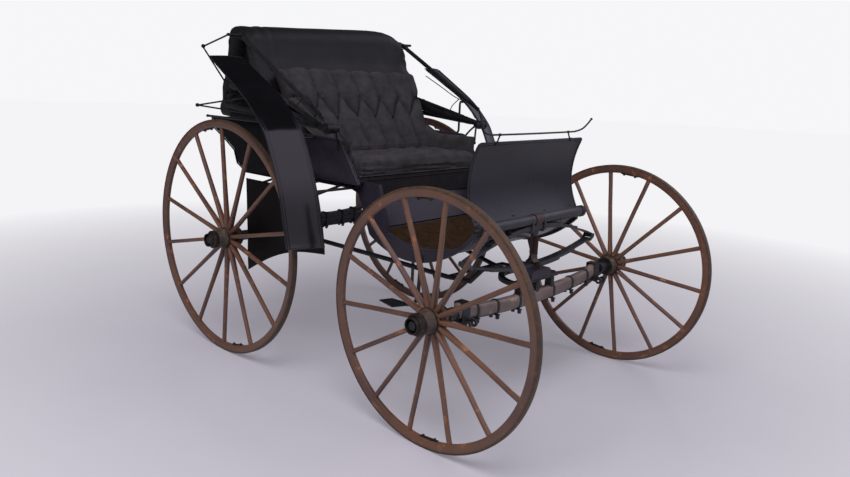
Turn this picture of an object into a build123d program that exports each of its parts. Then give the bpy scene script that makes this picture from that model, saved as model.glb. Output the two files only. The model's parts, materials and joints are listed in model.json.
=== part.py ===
from build123d import *
from math import asin, cos, hypot, radians, sin, sqrt
import os

# A light four-wheeled phaeton with a folding leather top. Sizes are in millimetres.
# +Z is up and the carriage faces -Y, so its own right-hand side is at -X.
# The origin is on the ground, under the centre of the bounding box.

# ---- Wheels ----
track = 1422.0
wheelbase = 1385.0
front_wheel_radius = 508.0
rear_wheel_radius = 584.2
spoke_count = 14
front_right_turn = -8.3
front_left_turn = -7.3
rear_right_turn = -0.7
rear_left_turn = 3.2
tyre_thickness = 8.0
tyre_width = 28.0
felloe_depth = 32.0
felloe_width = 26.0
felloe_edge = 6.0
spoke_foot_width = 24.0
spoke_foot_depth = 34.0
spoke_tip_width = 20.0
spoke_edge_share = 0.28
spoke_dish = 25.0

# ---- Hubs ----
hub_outside = 60.0
hub_inside = 90.0
hub_outer_radius = 40.0
hub_inner_radius = 44.0
hub_seat_radius = 62.0
hub_shoulder_radius = 57.0
hub_seat_length = 44.0
hub_band_width = 16.0
hub_band_thickness = 4.0
box_wall = 5.0
cap_radius = 32.0
cap_wall = 4.0
cap_length = 25.0
joint_plate_length = 90.0
joint_plate_width = 12.0
joint_plate_thickness = 3.0

# ---- Axles ----
arm_radius = 17.0
arm_clearance = 0.05
end_play = 0.5
collar_radius = 25.0
collar_length = 60.0
axle_nut_side = 26.0
axle_nut_length = 17.0
axle_bar = 26.0
axle_sag = 40.0
bed_width = 40.0
bed_rise = 34.0
bed_half_length = 535.0
rear_bed_height = 25.0
clip_width = 14.0
clip_thickness = 4.0
clip_nut_radius = 8.0
clip_nut_height = 9.0
axle_clip_stations = (290.0, 425.0)
inner_clip_station = 132.0

# ---- Shaft couplings ----
coupling_station = 505.0
coupling_gap = 30.0
coupling_ear = 8.0
coupling_eye_radius = 16.0
coupling_hole_radius = 6.5
coupling_reach = 24.0

# ---- Turning gear ----
ring_radius = 165.0
ring_width = 26.0
ring_thickness = 9.0
ring_bar_width = 32.0
slip_gap = 0.3
king_pin_radius = 9.0
king_boss_radius = 30.0
king_nut_radius = 15.0
king_nut_height = 14.0
head_block_width = 150.0
head_block_length = 84.0
head_block_height = 38.0

# ---- Reach ----
reach_radius = 11.0
reach_tie_behind = 363.0
reach_tie_station = 178.0
reach_end_station = 405.0

# ---- Springs ----
spring_half_span = 478.0
leaf_width = 38.0
leaf_thickness = 7.0
leaf_shares = (1.0, 0.7, 0.42)
eye_radius = 11.0
eye_pin_radius = 5.0
eye_offset = 8.0
ear_thickness = 5.0
fit_gap = 0.3
front_spring_setback = 22.0
front_spring_height = 196.0
front_eye_height = 87.0
spring_bar_radius = 20.0
spring_bar_inset = 10.0
bar_collar_width = 12.0
bar_collar_rise = 4.0
bar_spindle_radius = 6.0
bar_spindle_length = 36.0
strap_width = 45.0
strap_thickness = 3.0
bar_clip_station = 46.0
rear_eye_share = 0.45
rear_bar_size = 36.0

# ---- Body ----
body_half_width = 402.0
side_thickness = 20.0
floor_thickness = 12.0
mat_thickness = 5.0
footwell_drop = 201.0
sill_rise = 66.0
seat_frame_rise = 111.0
seat_frame_thickness = 20.0
body_rear_rise = 71.0
seat_front_ahead = 685.0
seat_depth = 330.0
seat_overhang = 38.0
cushion_side_gap = 25.0
back_side_gap = 7.0
cushion_height = 84.0
cushion_rounding = 26.0
back_height = 407.0
back_lean = 210.0
back_thickness = 72.0
back_rounding = 26.0
back_panel_thickness = 14.0
seat_side_height = 186.0
seat_side_thickness = 14.0
riser_thickness = 12.0
fall_drop = 100.0
fall_thickness = 4.0
boot_overhang = 40.0
boot_rise = 205.0
soft_gap = 0.3

# ---- Dash ----
dash_inset = 10.0
dash_height = 336.0
dash_bulge = 46.0
dash_thickness = 6.0
dash_setback = 26.0
dash_corner = 14.0
rail_radius = 4.5
rail_rise = 30.0
rail_overhang = 20.0
rail_horn = 58.0
rail_post_share = 0.65
post_lean = 25.0
stay_width = 16.0
stay_thickness = 5.0
stay_shares = (0.31, 0.855, 0.945)

# ---- Fenders and side curtains ----
fender_inner = 638.0
fender_outer = 792.0
fender_slant = 64.0
fender_thickness = 5.0
curtain_plane = 596.0
curtain_thickness = 5.0
side_iron_radius = 7.0

# ---- Folding top ----
pivot_overhang = 120.0
pivot_ahead = 605.0
pivot_rise = 220.0
pivot_radius = 24.0
bow_length = 788.0
bow_angles = (31.0, 21.5, 12.0, 5.0)
bow_width = 26.0
bow_thickness = 11.0
hood_inset = 20.0
hood_rise = 692.0
hood_tail = 318.0
prop_radius = 5.0
prop_offset = 64.0
prop_knuckle_radius = 10.0

# ---- Places worked out from the sizes above ----
front_axle_y = -(wheelbase + rear_wheel_radius - front_wheel_radius) / 2
rear_axle_y = front_axle_y + wheelbase
half_track = track / 2
spring_bar_half_length = body_half_width - spring_bar_inset
dash_half_width = body_half_width - dash_inset
seat_half_width = body_half_width + seat_overhang
boot_half_width = seat_half_width + boot_overhang
pivot_station = seat_half_width + pivot_overhang
hood_half_width = pivot_station - hood_inset
rail_half_width = dash_half_width + rail_overhang
bore_radius = arm_radius + arm_clearance
box_radius = bore_radius + box_wall
bed_top = front_wheel_radius + bed_rise
lower_ring_z = bed_top
upper_ring_z = lower_ring_z + ring_thickness + slip_gap
head_block_z = upper_ring_z + ring_thickness
front_spring_z = head_block_z + head_block_height
bar_z = front_spring_z + front_spring_height + spring_bar_radius
spring_y = front_axle_y + front_spring_setback
front_eye_z = front_spring_z + front_eye_height
dash_y = spring_y + dash_setback
seat_y = rear_axle_y - seat_front_ahead
back_y = seat_y + seat_depth
seat_frame_z = bar_z + seat_frame_rise
seat_top_z = seat_frame_z + seat_frame_thickness
back_foot_z = seat_top_z + cushion_height
body_rear_z = bar_z + body_rear_rise
floor_low_z = bar_z - footwell_drop
floor_low_y = (dash_y + seat_y) / 2
rear_axle_top = rear_wheel_radius + axle_bar / 2
rear_spring_z = rear_axle_top + rear_bed_height
rear_bar_z = body_rear_z - rear_bar_size
pivot_y = rear_axle_y - pivot_ahead
pivot_z = seat_top_z + pivot_rise
hood_top_z = seat_top_z + hood_rise

nodes = {}


def add(name, *pieces):
    nodes[name] = [solid for piece in pieces for solid in piece.solids()]


def mirrored(shape):
    return mirror(shape, Plane.YZ)


def pair(shape):
    return [shape, mirrored(shape)]


def box(x_range, y_range, z_range):
    sizes = [high - low for low, high in (x_range, y_range, z_range)]
    middle = [(high + low) / 2 for low, high in (x_range, y_range, z_range)]
    return Pos(*middle) * Box(*sizes)


def along_x(radius, start, stop):
    """A round bar along X from start to stop."""
    return Pos((start + stop) / 2, 0, 0) * Rot(0, 90, 0) * Cylinder(radius, stop - start)


def stud(radius, start, stop):
    """An eight-sided stud along X from start to stop."""
    return Pos(start, 0, 0) * extrude(Plane.YZ * RegularPolygon(radius, 8), stop - start)


def rod(points, radius):
    """An eight-sided iron through the points, mitred at its corners."""
    path = Polyline(*points)
    section = RegularPolygon(radius, 8, major_radius=False)
    return sweep(Plane(path @ 0, z_dir=path % 0) * section, path, transition=Transition.RIGHT)


def side_plate(outline, x_from, x_to):
    """A plate with a side outline in (y, z), between two planes across the carriage."""
    face = Plane.YZ * make_face(outline)
    return Pos(x_from, 0, 0) * extrude(face, x_to - x_from)


def front_plate(outline, depth):
    """A plate with a front outline in (x, z), centred on y = 0."""
    return extrude(Plane.XZ * make_face(outline), depth / 2, both=True)


# ---------------------------------------------------------------- wheels

def ring(outer, inner, width):
    return extrude(Plane.YZ * (Circle(outer) - Circle(inner)), width / 2, both=True)


def round_edges(shape, radius):
    return [edge for edge in shape.edges().filter_by(GeomType.CIRCLE) if abs(edge.radius - radius) < 0.01]


def make_tyre(radius):
    return ring(radius, radius - tyre_thickness, tyre_width)


def make_felloe(radius):
    outer = radius - tyre_thickness
    felloe = ring(outer, outer - felloe_depth, felloe_width)
    return chamfer(round_edges(felloe, outer - felloe_depth), felloe_edge)


def make_spokes(radius, turn):
    """Eight-sided tapering spokes, from flat seats on the hub to the felloe's inner curve."""
    inner_curve = radius - tyre_thickness - felloe_depth
    tip = sqrt(inner_curve**2 - (spoke_tip_width / 2) ** 2)

    def section(at, lean, width, depth):
        cut = spoke_edge_share * width
        across, along = depth / 2, width / 2
        corners = [(across, along - cut), (across - cut, along), (cut - across, along), (-across, along - cut)]
        corners += [(-x, -y) for x, y in corners]
        return [(x + lean, y, at) for x, y in corners]

    foot = section(hub_seat_radius, -spoke_dish, spoke_foot_width, spoke_foot_depth)
    head = section(tip, 0, spoke_tip_width, spoke_tip_width)
    outlines = [foot, head]
    outlines += [(foot[i - 1], foot[i], head[i], head[i - 1]) for i in range(len(foot))]
    spoke = Solid(Shell([make_face(Polyline(*outline, close=True)) for outline in outlines]))
    step = 360 / spoke_count
    return [Rot(turn + step * index, 0, 0) * spoke for index in range(spoke_count)]


def make_hub(turn):
    """A turned hub with one flat seat round its middle for each spoke."""
    seat_from = -spoke_dish - hub_seat_length / 2
    seat_to = -spoke_dish + hub_seat_length / 2
    inner_end = -hub_inside + hub_band_thickness
    band_from = hub_outside - hub_band_width
    outline = Polyline(
        (inner_end, box_radius), (hub_outside, box_radius), (hub_outside, hub_outer_radius),
        (band_from, hub_outer_radius), (seat_to, hub_shoulder_radius), (seat_from, hub_shoulder_radius),
        (inner_end, hub_inner_radius), (inner_end, box_radius),
    )
    seat = RegularPolygon(hub_seat_radius, spoke_count, major_radius=False)
    seat -= Circle((box_radius + hub_shoulder_radius) / 2)
    seats = Pos(seat_from, 0, 0) * extrude(Plane.YZ * seat, hub_seat_length)
    return revolve(Plane.XZ * make_face(outline), Axis.X) + Rot(turn, 0, 0) * seats


def make_wheel_irons(radius, turn):
    """The axle box, outer band and cap, and the plates over the rim's two joints, which turn with the wheel."""
    inner_end = -hub_inside + hub_band_thickness
    flange = hub_outside + hub_band_thickness
    outer_band = hub_outer_radius + hub_band_thickness
    outline = Polyline(
        (-hub_inside, bore_radius), (flange, bore_radius), (flange, cap_radius - cap_wall),
        (flange + cap_length, cap_radius - cap_wall), (flange + cap_length, cap_radius),
        (flange, cap_radius), (flange, outer_band), (hub_outside - hub_band_width, outer_band),
        (hub_outside - hub_band_width, hub_outer_radius), (hub_outside, hub_outer_radius),
        (hub_outside, box_radius), (inner_end, box_radius), (inner_end, hub_inner_radius),
        (-hub_inside, hub_inner_radius), (-hub_inside, bore_radius),
    )
    inner_curve = radius - tyre_thickness - felloe_depth
    plate = box((-joint_plate_width / 2, joint_plate_width / 2), (-joint_plate_length / 2, joint_plate_length / 2),
                (inner_curve - 2 * joint_plate_thickness, inner_curve))
    plate &= Rot(0, 90, 0) * Cylinder(inner_curve - fit_gap, joint_plate_width)
    joint_turn = turn + 180 / spoke_count
    plates = [Rot(joint_turn + half, 0, 0) * plate for half in (0, 180)]
    return [revolve(Plane.XZ * make_face(outline), Axis.X)] + plates


def add_wheel(name, radius, axle_y, side, turn):
    """One wheel, dished outwards. Side is 1 at the left (+X) and -1 at the right."""
    place = Pos(side * half_track, axle_y, radius) * Rot(0, 0, 0 if side > 0 else 180)
    add(f"{name}_tyre", place * make_tyre(radius))
    add(f"{name}_felloe", place * make_felloe(radius))
    add(f"{name}_spokes", place * (make_hub(turn) + make_spokes(radius, turn)))
    add(f"{name}_irons", *[place * iron for iron in make_wheel_irons(radius, turn)])


add_wheel("front_right", front_wheel_radius, front_axle_y, -1, front_right_turn)
add_wheel("front_left", front_wheel_radius, front_axle_y, 1, front_left_turn)
add_wheel("rear_right", rear_wheel_radius, rear_axle_y, -1, rear_right_turn)
add_wheel("rear_left", rear_wheel_radius, rear_axle_y, 1, rear_left_turn)


# ---------------------------------------------------------------- axles

def make_arm():
    """The left end of an axle on the line y = 0, z = 0: collar, arm and nut."""
    shoulder = half_track - hub_inside - end_play
    nut_from = half_track + hub_outside + hub_band_thickness + end_play
    nut_to = nut_from + axle_nut_length
    nut = box((nut_from, nut_to), (-axle_nut_side / 2, axle_nut_side / 2), (-axle_nut_side / 2, axle_nut_side / 2))
    return (
        along_x(collar_radius, shoulder - collar_length, shoulder)
        + along_x(arm_radius, shoulder - collar_length, nut_to)
        + nut
    )


def sagging_arc(end_x, end_z, sag):
    return ThreePointArc((-end_x, end_z), (0, end_z - sag), (end_x, end_z))


beam_end = half_track - hub_inside - end_play - collar_length / 2
beam_top = front_wheel_radius
beam_low = front_wheel_radius - axle_bar
sag_radius = (beam_end**2 + axle_sag**2) / (2 * axle_sag)


def beam_underside(x):
    """Height of the front axle's lower face at a distance x from the middle."""
    return beam_low - axle_sag + sag_radius - sqrt(sag_radius**2 - x**2)


king_hole = Pos(0, front_axle_y, bed_top / 2) * Cylinder(king_pin_radius + arm_clearance, bed_top)

beam = front_plate(
    [sagging_arc(beam_end, beam_low, axle_sag), Line((beam_end, beam_low), (beam_end, beam_top)),
     sagging_arc(beam_end, beam_top, axle_sag), Line((-beam_end, beam_top), (-beam_end, beam_low))],
    axle_bar,
)
front_arms = [Pos(0, 0, front_wheel_radius) * arm for arm in pair(make_arm())]
add("front_axle", Pos(0, front_axle_y, 0) * (beam + front_arms) - king_hole)

under_bed = make_face([sagging_arc(beam_end, beam_top, axle_sag),
                       Polyline((beam_end, beam_top), (beam_end, 0), (-beam_end, 0), (-beam_end, beam_top))])
bed_face = Pos(0, bed_top / 2) * Rectangle(2 * bed_half_length, bed_top) - under_bed
bed = extrude(Plane.XZ * bed_face, bed_width / 2, both=True)
add("front_axle_bed", Pos(0, front_axle_y, 0) * bed - king_hole)


def clip_nuts(x, y_offset, top):
    nut = extrude(RegularPolygon(clip_nut_radius, 6), -clip_nut_height)
    return [Pos(x, y, top) * nut for y in (-y_offset, y_offset)]


def clip_legs(x, half_depth, bottom, top):
    """Two legs and a lower plate with its nuts, open at the top, round y = 0."""
    legs = [
        box((x - clip_width / 2, x + clip_width / 2), sorted((side * half_depth, side * (half_depth + clip_thickness))),
            (bottom - clip_thickness, top))
        for side in (-1, 1)
    ]
    outer = half_depth + clip_thickness
    plate = box((x - clip_width / 2, x + clip_width / 2), (-outer, outer), (bottom - clip_thickness, bottom))
    return legs[0] + legs[1] + plate + clip_nuts(x, half_depth - clip_nut_radius / 2, bottom - clip_thickness)


def closed_clip(x, half_depth, bottom, top):
    outer = half_depth + clip_thickness
    strap = box((x - clip_width / 2, x + clip_width / 2), (-outer, outer), (top, top + clip_thickness))
    return clip_legs(x, half_depth, bottom, top) + strap


front_clips = []
for station in axle_clip_stations:
    underside = beam_underside(station - clip_width / 2)
    front_clips += pair(closed_clip(station, bed_width / 2, underside, bed_top))


def make_coupling():
    """Two eyes ahead of the axle, on a plate under the beam, for a shaft's cross bolt."""
    underside = beam_underside(coupling_station - coupling_gap / 2 - coupling_ear)
    eye_z = underside - clip_thickness
    eye_y = -bed_width / 2 - clip_thickness - coupling_reach
    outer = bed_width / 2 + clip_thickness
    ears = []
    for side in (-1, 1):
        x_from = coupling_station + side * (coupling_gap + coupling_ear) / 2 - coupling_ear / 2
        outline = Pos(eye_y, eye_z) * Circle(coupling_eye_radius)
        outline += Pos((eye_y - bed_width / 2) / 2, eye_z) * Rectangle(-bed_width / 2 - eye_y, coupling_eye_radius)
        outline -= Pos(eye_y, eye_z) * Circle(coupling_hole_radius)
        ears.append(Pos(x_from, 0, 0) * extrude(Plane.YZ * outline, coupling_ear))
    x_range = (coupling_station - coupling_gap / 2 - coupling_ear, coupling_station + coupling_gap / 2 + coupling_ear)
    plate = box(x_range, (-outer, outer), (eye_z - clip_thickness, underside))
    front = box(x_range, (-outer, -bed_width / 2), (eye_z - clip_thickness, bed_top))
    back = box(x_range, (bed_width / 2, outer), (eye_z - clip_thickness, bed_top))
    strap = box(x_range, (-outer, outer), (bed_top, bed_top + clip_thickness))
    return plate + front + back + strap + ears


couplings = pair(make_coupling())
add("shaft_couplings", *[Pos(0, front_axle_y, 0) * coupling for coupling in couplings])


# ---------------------------------------------------------------- turning gear

def turning_plate(z_from):
    """A half ring behind the axle, with a cross bar over it and a boss for the king pin."""
    inner = ring_radius - ring_width
    arc = Circle(ring_radius) - Circle(inner)
    arc &= Pos(0, ring_radius / 2) * Rectangle(2 * ring_radius, ring_radius)
    face = arc + Rectangle(2 * ring_radius - ring_width, ring_bar_width) + Circle(king_boss_radius)
    return Pos(0, front_axle_y, z_from) * extrude(face, ring_thickness)


lower_plate = turning_plate(lower_ring_z)
for side in (-1, 1):
    underside = beam_underside(inner_clip_station - clip_width / 2)
    lower_plate += Pos(0, front_axle_y, 0) * clip_legs(side * inner_clip_station, bed_width / 2, underside, bed_top)
    lower_plate += box(
        (side * inner_clip_station - clip_width / 2, side * inner_clip_station + clip_width / 2),
        (front_axle_y - bed_width / 2 - clip_thickness, front_axle_y + bed_width / 2 + clip_thickness),
        (lower_ring_z, lower_ring_z + ring_thickness),
    )
lower_plate -= Pos(0, front_axle_y, lower_ring_z) * Cylinder(king_pin_radius + arm_clearance, 4 * ring_thickness)
add("lower_fifth_wheel", lower_plate, *[Pos(0, front_axle_y, 0) * clip for clip in front_clips])

pin_low = beam_low - axle_sag - end_play - king_nut_height
king_pin = Pos(0, front_axle_y, (pin_low + upper_ring_z + ring_thickness) / 2) * Cylinder(
    king_pin_radius, upper_ring_z + ring_thickness - pin_low)
king_nut = Pos(0, front_axle_y, pin_low + king_nut_height / 2) * extrude(
    RegularPolygon(king_nut_radius, 6), king_nut_height / 2, both=True)
add("upper_fifth_wheel", turning_plate(upper_ring_z) + king_pin + king_nut)

block_y = front_axle_y + front_spring_setback / 2
block = Pos(0, block_y, head_block_z + head_block_height / 2) * Box(
    head_block_width, head_block_length, head_block_height)
block = chamfer(block.edges().filter_by(Axis.Y).group_by(Axis.Z)[-1], head_block_height / 3)
strap_half = spring_bar_radius + fit_gap + strap_thickness
pocket_depth = strap_thickness + 2 * fit_gap
block -= Pos(0, spring_y, front_spring_z - pocket_depth / 2) * Box(
    strap_width + 2 * fit_gap, 2 * (strap_half + fit_gap), pocket_depth)
add("head_block", block)


# ---------------------------------------------------------------- springs

def leaf_pack(end_z, middle_z):
    """Stepped leaves with one centre of curvature. The main leaf's middle line passes through both heights."""
    rise = middle_z - end_z
    up = 1 if rise > 0 else -1
    radius = (spring_half_span**2 + rise**2) / (2 * abs(rise))
    centre_z = middle_z - up * radius

    def at(r, angle):
        return (r * sin(angle), centre_z + up * r * cos(angle))

    pack = None
    for index, share in enumerate(leaf_shares):
        inner = radius + (index - 0.5) * leaf_thickness
        outer = inner + leaf_thickness
        reach = asin(share * (spring_half_span - eye_radius * (1.5 if up < 0 else 0.5)) / radius)
        leaf = make_face([
            ThreePointArc(at(inner, -reach), at(inner, 0), at(inner, reach)),
            Line(at(inner, reach), at(outer, reach)),
            ThreePointArc(at(outer, reach), at(outer, 0), at(outer, -reach)),
            Line(at(outer, -reach), at(inner, -reach)),
        ])
        pack = leaf if pack is None else pack + leaf
    return extrude(Plane.XZ * pack, leaf_width / 2, both=True)


def upper_half(eye_z, middle_z):
    half = leaf_pack(eye_z + eye_offset, middle_z)
    eye = Circle(eye_radius) - Circle(eye_pin_radius + fit_gap)
    for side in (-1, 1):
        half += extrude(Plane.XZ * (Pos(side * spring_half_span, eye_z) * eye), leaf_width / 2, both=True)
        half -= Pos(side * spring_half_span, 0, eye_z) * Rot(90, 0, 0) * Cylinder(
            eye_pin_radius + fit_gap, 2 * leaf_width)
    return half


def lower_half(eye_z, middle_z):
    end_z = eye_z - eye_offset
    half = leaf_pack(end_z, middle_z)
    inside = leaf_width / 2 + fit_gap
    outside = inside + ear_thickness
    slope = 2 * (end_z - middle_z) / spring_half_span
    foot_x = spring_half_span - 2.6 * eye_radius
    foot_z = end_z - slope * (spring_half_span - foot_x) - leaf_thickness / 2
    for side in (-1, 1):
        foot = box(sorted((side * foot_x, side * (foot_x + eye_radius))), (-outside, outside),
                   (foot_z - ear_thickness, foot_z + leaf_thickness / 2))
        ear = make_hull(
            (Pos(side * spring_half_span, eye_z) * Circle(eye_radius)).edges()
            + (Pos(side * (foot_x + eye_radius / 2), foot_z - ear_thickness / 2)
               * Rectangle(eye_radius, ear_thickness)).edges()
        )
        ears = [Pos(0, y, 0) * extrude(Plane.XZ * ear, ear_thickness / 2, both=True)
                for y in (-(inside + outside) / 2, (inside + outside) / 2)]
        pin = Pos(side * spring_half_span, 0, eye_z) * Rot(90, 0, 0) * Cylinder(eye_pin_radius, 2 * outside)
        half = half + foot + ears + pin
    return half


main_leaf_inset = (len(leaf_shares) - 0.5) * leaf_thickness
front_upper_z = bar_z - spring_bar_radius - main_leaf_inset
front_lower_z = front_spring_z + main_leaf_inset
add("front_spring_lower", Pos(0, spring_y, 0) * lower_half(front_eye_z, front_lower_z))

rear_eye_z = rear_spring_z + rear_eye_share * (rear_bar_z - rear_spring_z)
add("rear_spring_upper", Pos(0, rear_axle_y, 0) * upper_half(rear_eye_z, rear_bar_z - main_leaf_inset))
add("rear_spring_lower", Pos(0, rear_axle_y, 0) * lower_half(rear_eye_z, rear_spring_z + main_leaf_inset))


def loop(inside, thickness, bottom, width, x):
    """A band round the spring bar and down to a lower run."""
    def outline(radius, low):
        return Circle(radius) + Pos(0, (low - bar_z) / 2) * Rectangle(2 * radius, bar_z - low)
    face = outline(inside + thickness, bottom - thickness) - outline(inside, bottom)
    return Pos(x, spring_y, bar_z) * extrude(Plane.YZ * face, width / 2, both=True)


strap = loop(spring_bar_radius + fit_gap, strap_thickness, front_spring_z - fit_gap, strap_width, 0)
add("rebound_strap", strap)

bar = along_x(spring_bar_radius, -spring_bar_half_length, spring_bar_half_length)
collar_x = spring_bar_half_length - 1.5 * bar_collar_width
bar += pair(stud(spring_bar_radius + bar_collar_rise, collar_x, collar_x + bar_collar_width))
bar += pair(stud(bar_spindle_radius, spring_bar_half_length, spring_bar_half_length + bar_spindle_length))
add("front_spring_bar", Pos(0, spring_y, bar_z) * bar)

upper_rise = front_upper_z - front_eye_z - eye_offset
clip_drop = upper_rise * ((bar_clip_station + clip_width) / spring_half_span) ** 2
pack_bottom = front_upper_z - leaf_thickness / 2 - clip_drop
bar_clips = []
for side in (-1, 1):
    x = side * bar_clip_station
    clip = loop(spring_bar_radius + fit_gap, clip_thickness, pack_bottom - fit_gap, clip_width, x)
    clip += [Pos(0, spring_y, 0) * nut for nut in clip_nuts(x, leaf_width / 4, pack_bottom - fit_gap - clip_thickness)]
    bar_clips.append(clip)
add("front_spring_upper", Pos(0, spring_y, 0) * upper_half(front_eye_z, front_upper_z), *bar_clips)


# ---------------------------------------------------------------- rear axle

rear_beam = box((-beam_end, beam_end), (-axle_bar / 2, axle_bar / 2), (-axle_bar / 2, axle_bar / 2))
add("rear_axle", Pos(0, rear_axle_y, rear_wheel_radius) * (rear_beam + pair(make_arm())))
rear_bed = box((-bed_half_length, bed_half_length), (-bed_width / 2, bed_width / 2), (0, rear_bed_height))
add("rear_axle_bed", Pos(0, rear_axle_y, rear_axle_top) * rear_bed)

rear_clips = []
for station in (60.0, 150.0):
    pack_top = rear_spring_z + len(leaf_shares) * leaf_thickness
    rise = rear_eye_z - eye_offset - (rear_spring_z + main_leaf_inset)
    curve = (spring_half_span**2 + rise**2) / (2 * rise)
    top = pack_top + (station + clip_width) ** 2 / (2 * curve) + fit_gap
    rear_clips += pair(closed_clip(station, bed_width / 2, rear_wheel_radius - axle_bar / 2, top))
add("rear_axle_clips", *[Pos(0, rear_axle_y, 0) * clip for clip in rear_clips])

rear_bar = box((-body_half_width, body_half_width), (-rear_bar_size / 2, rear_bar_size / 2), (0, rear_bar_size))
add("rear_spring_bar", Pos(0, rear_axle_y, rear_bar_z) * rear_bar)

# ---------------------------------------------------------------- body

inside_x = body_half_width - side_thickness
side_front_y = spring_y + spring_bar_radius + bar_collar_rise + fit_gap
side_front_z = bar_z - 44.0
well_rear_y = seat_y - 45.0
well_rear_z = floor_low_z + 77.0
post_front_y = seat_y - 166.0
well_length = well_rear_y - side_front_y


def well_point(share, rise):
    return (side_front_y + share * well_length, floor_low_z + rise)


def well_curve(lift):
    """The footwell's underside from front to back, raised by a lift."""
    points = [(side_front_y, side_front_z), well_point(0.17, 74), well_point(0.4, 14), well_point(0.56, 0),
              (well_rear_y, well_rear_z)]
    points = [(y, z + lift) for y, z in points]
    return [ThreePointArc(*points[:3]), ThreePointArc(points[2], points[3], points[4])]


sill_start = (side_front_y, side_front_z + 32)
sill_end = (post_front_y, floor_low_z + 102)
sill_curve = [ThreePointArc(sill_start, well_point(0.13, 114), well_point(0.28, 86)),
              ThreePointArc(well_point(0.28, 86), well_point(0.5, 68), sill_end)]
boot_y = back_y + 255.0
side_outline = well_curve(0) + sill_curve + [
    Polyline((well_rear_y, well_rear_z), (seat_y + 35, body_rear_z - 16), (seat_y + 90, body_rear_z),
             (boot_y, body_rear_z), (boot_y, seat_frame_z), (seat_y - 98, seat_frame_z), sill_end),
    Line(sill_start, (side_front_y, side_front_z)),
]
body_side = side_plate(side_outline, inside_x, body_half_width)
add("body_sides", *pair(body_side))

floor_lift = 14.0


def floor_sheet(lift, thickness, half_width):
    low, high = well_curve(lift), well_curve(lift + thickness)
    face = make_face(low + high + [Line(low[0] @ 0, high[0] @ 0), Line(low[1] @ 1, high[1] @ 1)])
    return extrude(Plane.YZ * face, half_width, both=True)


floor = floor_sheet(floor_lift, floor_thickness, inside_x)
add("floor", floor)
mat = floor_sheet(floor_lift + floor_thickness + soft_gap, mat_thickness, inside_x - 12)
mat &= box((-inside_x, inside_x), (side_front_y + 60, well_rear_y - 30), (0, bar_z))
add("floor_mat", mat)

riser_foot_z = well_rear_z + floor_lift + floor_thickness
riser_top_y = seat_y + 45
riser = side_plate(
    Polyline((well_rear_y - riser_thickness, riser_foot_z), (well_rear_y, riser_foot_z),
             (riser_top_y, seat_frame_z), (riser_top_y - riser_thickness, seat_frame_z),
             (well_rear_y - riser_thickness, riser_foot_z)),
    -inside_x, inside_x)
frame_y = (seat_y - 6, boot_y)
seat_frame = box((-seat_half_width, seat_half_width), frame_y, (seat_frame_z, seat_top_z))
add("seat_frame", seat_frame + riser)
fall_y = seat_y - 6 - fall_thickness
add("seat_fall", box((-inside_x + 8, inside_x - 8), (fall_y, seat_y - 6), (seat_top_z - fall_drop, seat_top_z)))

cushion_half_width = seat_half_width - cushion_side_gap
cushion = box((-cushion_half_width, cushion_half_width), (seat_y + 2, back_y - soft_gap),
              (seat_top_z + soft_gap, back_foot_z - soft_gap))
cushion = fillet(cushion.edges().filter_by(Axis.X).group_by(Axis.Z)[-1].group_by(Axis.Y)[0], cushion_rounding)
add("seat_cushion", cushion)

lean = back_lean / back_height
unit = hypot(1, lean)


def back_slab(foot_z, top_z, front, thickness, half_width):
    """A leaning slab. Front is how far its face lies behind the line of the back cushion's face."""
    def at(z, depth):
        return (back_y + (z - back_foot_z) * lean + depth, z)
    outline = Polyline(at(foot_z, front), at(foot_z, front + thickness), at(top_z, front + thickness),
                       at(top_z, front), at(foot_z, front))
    return side_plate(outline, -half_width, half_width)


back_depth = back_thickness * unit
back_cushion = back_slab(back_foot_z, back_foot_z + back_height, 0, back_depth, seat_half_width - back_side_gap)
top_edges = back_cushion.edges().filter_by(Axis.X).group_by(Axis.Z)[-1]
back_cushion = fillet(top_edges, back_rounding)
add("back_cushion", back_cushion)
panel_depth = back_panel_thickness * unit
back_panel = back_slab(seat_top_z, back_foot_z + back_height - 20, back_depth + soft_gap, panel_depth,
                       seat_half_width - seat_side_thickness - fit_gap)
add("back_panel", back_panel)

arm_top = seat_frame_z + seat_side_height
arm_rear = back_y + 235.0
arm_outline = Polyline(
    (seat_y - 20, seat_frame_z - 10), (arm_rear, seat_frame_z - 10), (arm_rear, arm_top + 20),
    (seat_y + 390, arm_top + 6), (seat_y + 113, arm_top), (seat_y - 20, seat_frame_z - 10))
seat_side_outer = seat_half_width + seat_side_thickness
seat_side = side_plate(arm_outline, seat_half_width, seat_side_outer)
seat_side += box((seat_half_width, seat_side_outer), (pivot_y - 26, pivot_y + 52), (arm_top - 60, pivot_z + 16))
seat_side += Pos(0, pivot_y, pivot_z) * along_x(12, seat_side_outer, pivot_station - bow_thickness / 2)
add("seat_sides", *pair(seat_side))

boot_top = seat_top_z + boot_rise
boot_outline = Polyline(
    (boot_y, body_rear_z), (rear_axle_y + 137, body_rear_z), (rear_axle_y + 220, body_rear_z + 39),
    (rear_axle_y + 247, body_rear_z + 105), (rear_axle_y + 351, body_rear_z + 166),
    (rear_axle_y + 449, boot_top - 53), (rear_axle_y + 460, boot_top), (boot_y, boot_top), (boot_y, body_rear_z))
boot = side_plate(boot_outline, -boot_half_width, boot_half_width)
add("boot", boot)


# ---------------------------------------------------------------- dash

dash_foot_z = bar_z + 8.0
dash_top_z = dash_foot_z + dash_height


def dash_curve(depth):
    """The dash's side curve, bellied to the rear. Depth is measured to the rear of its front face."""
    foot = (dash_y + depth, dash_foot_z)
    belly = (dash_y + dash_bulge + depth, dash_foot_z + 0.45 * dash_height)
    return ThreePointArc(foot, belly, (dash_y + depth, dash_top_z))


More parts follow.
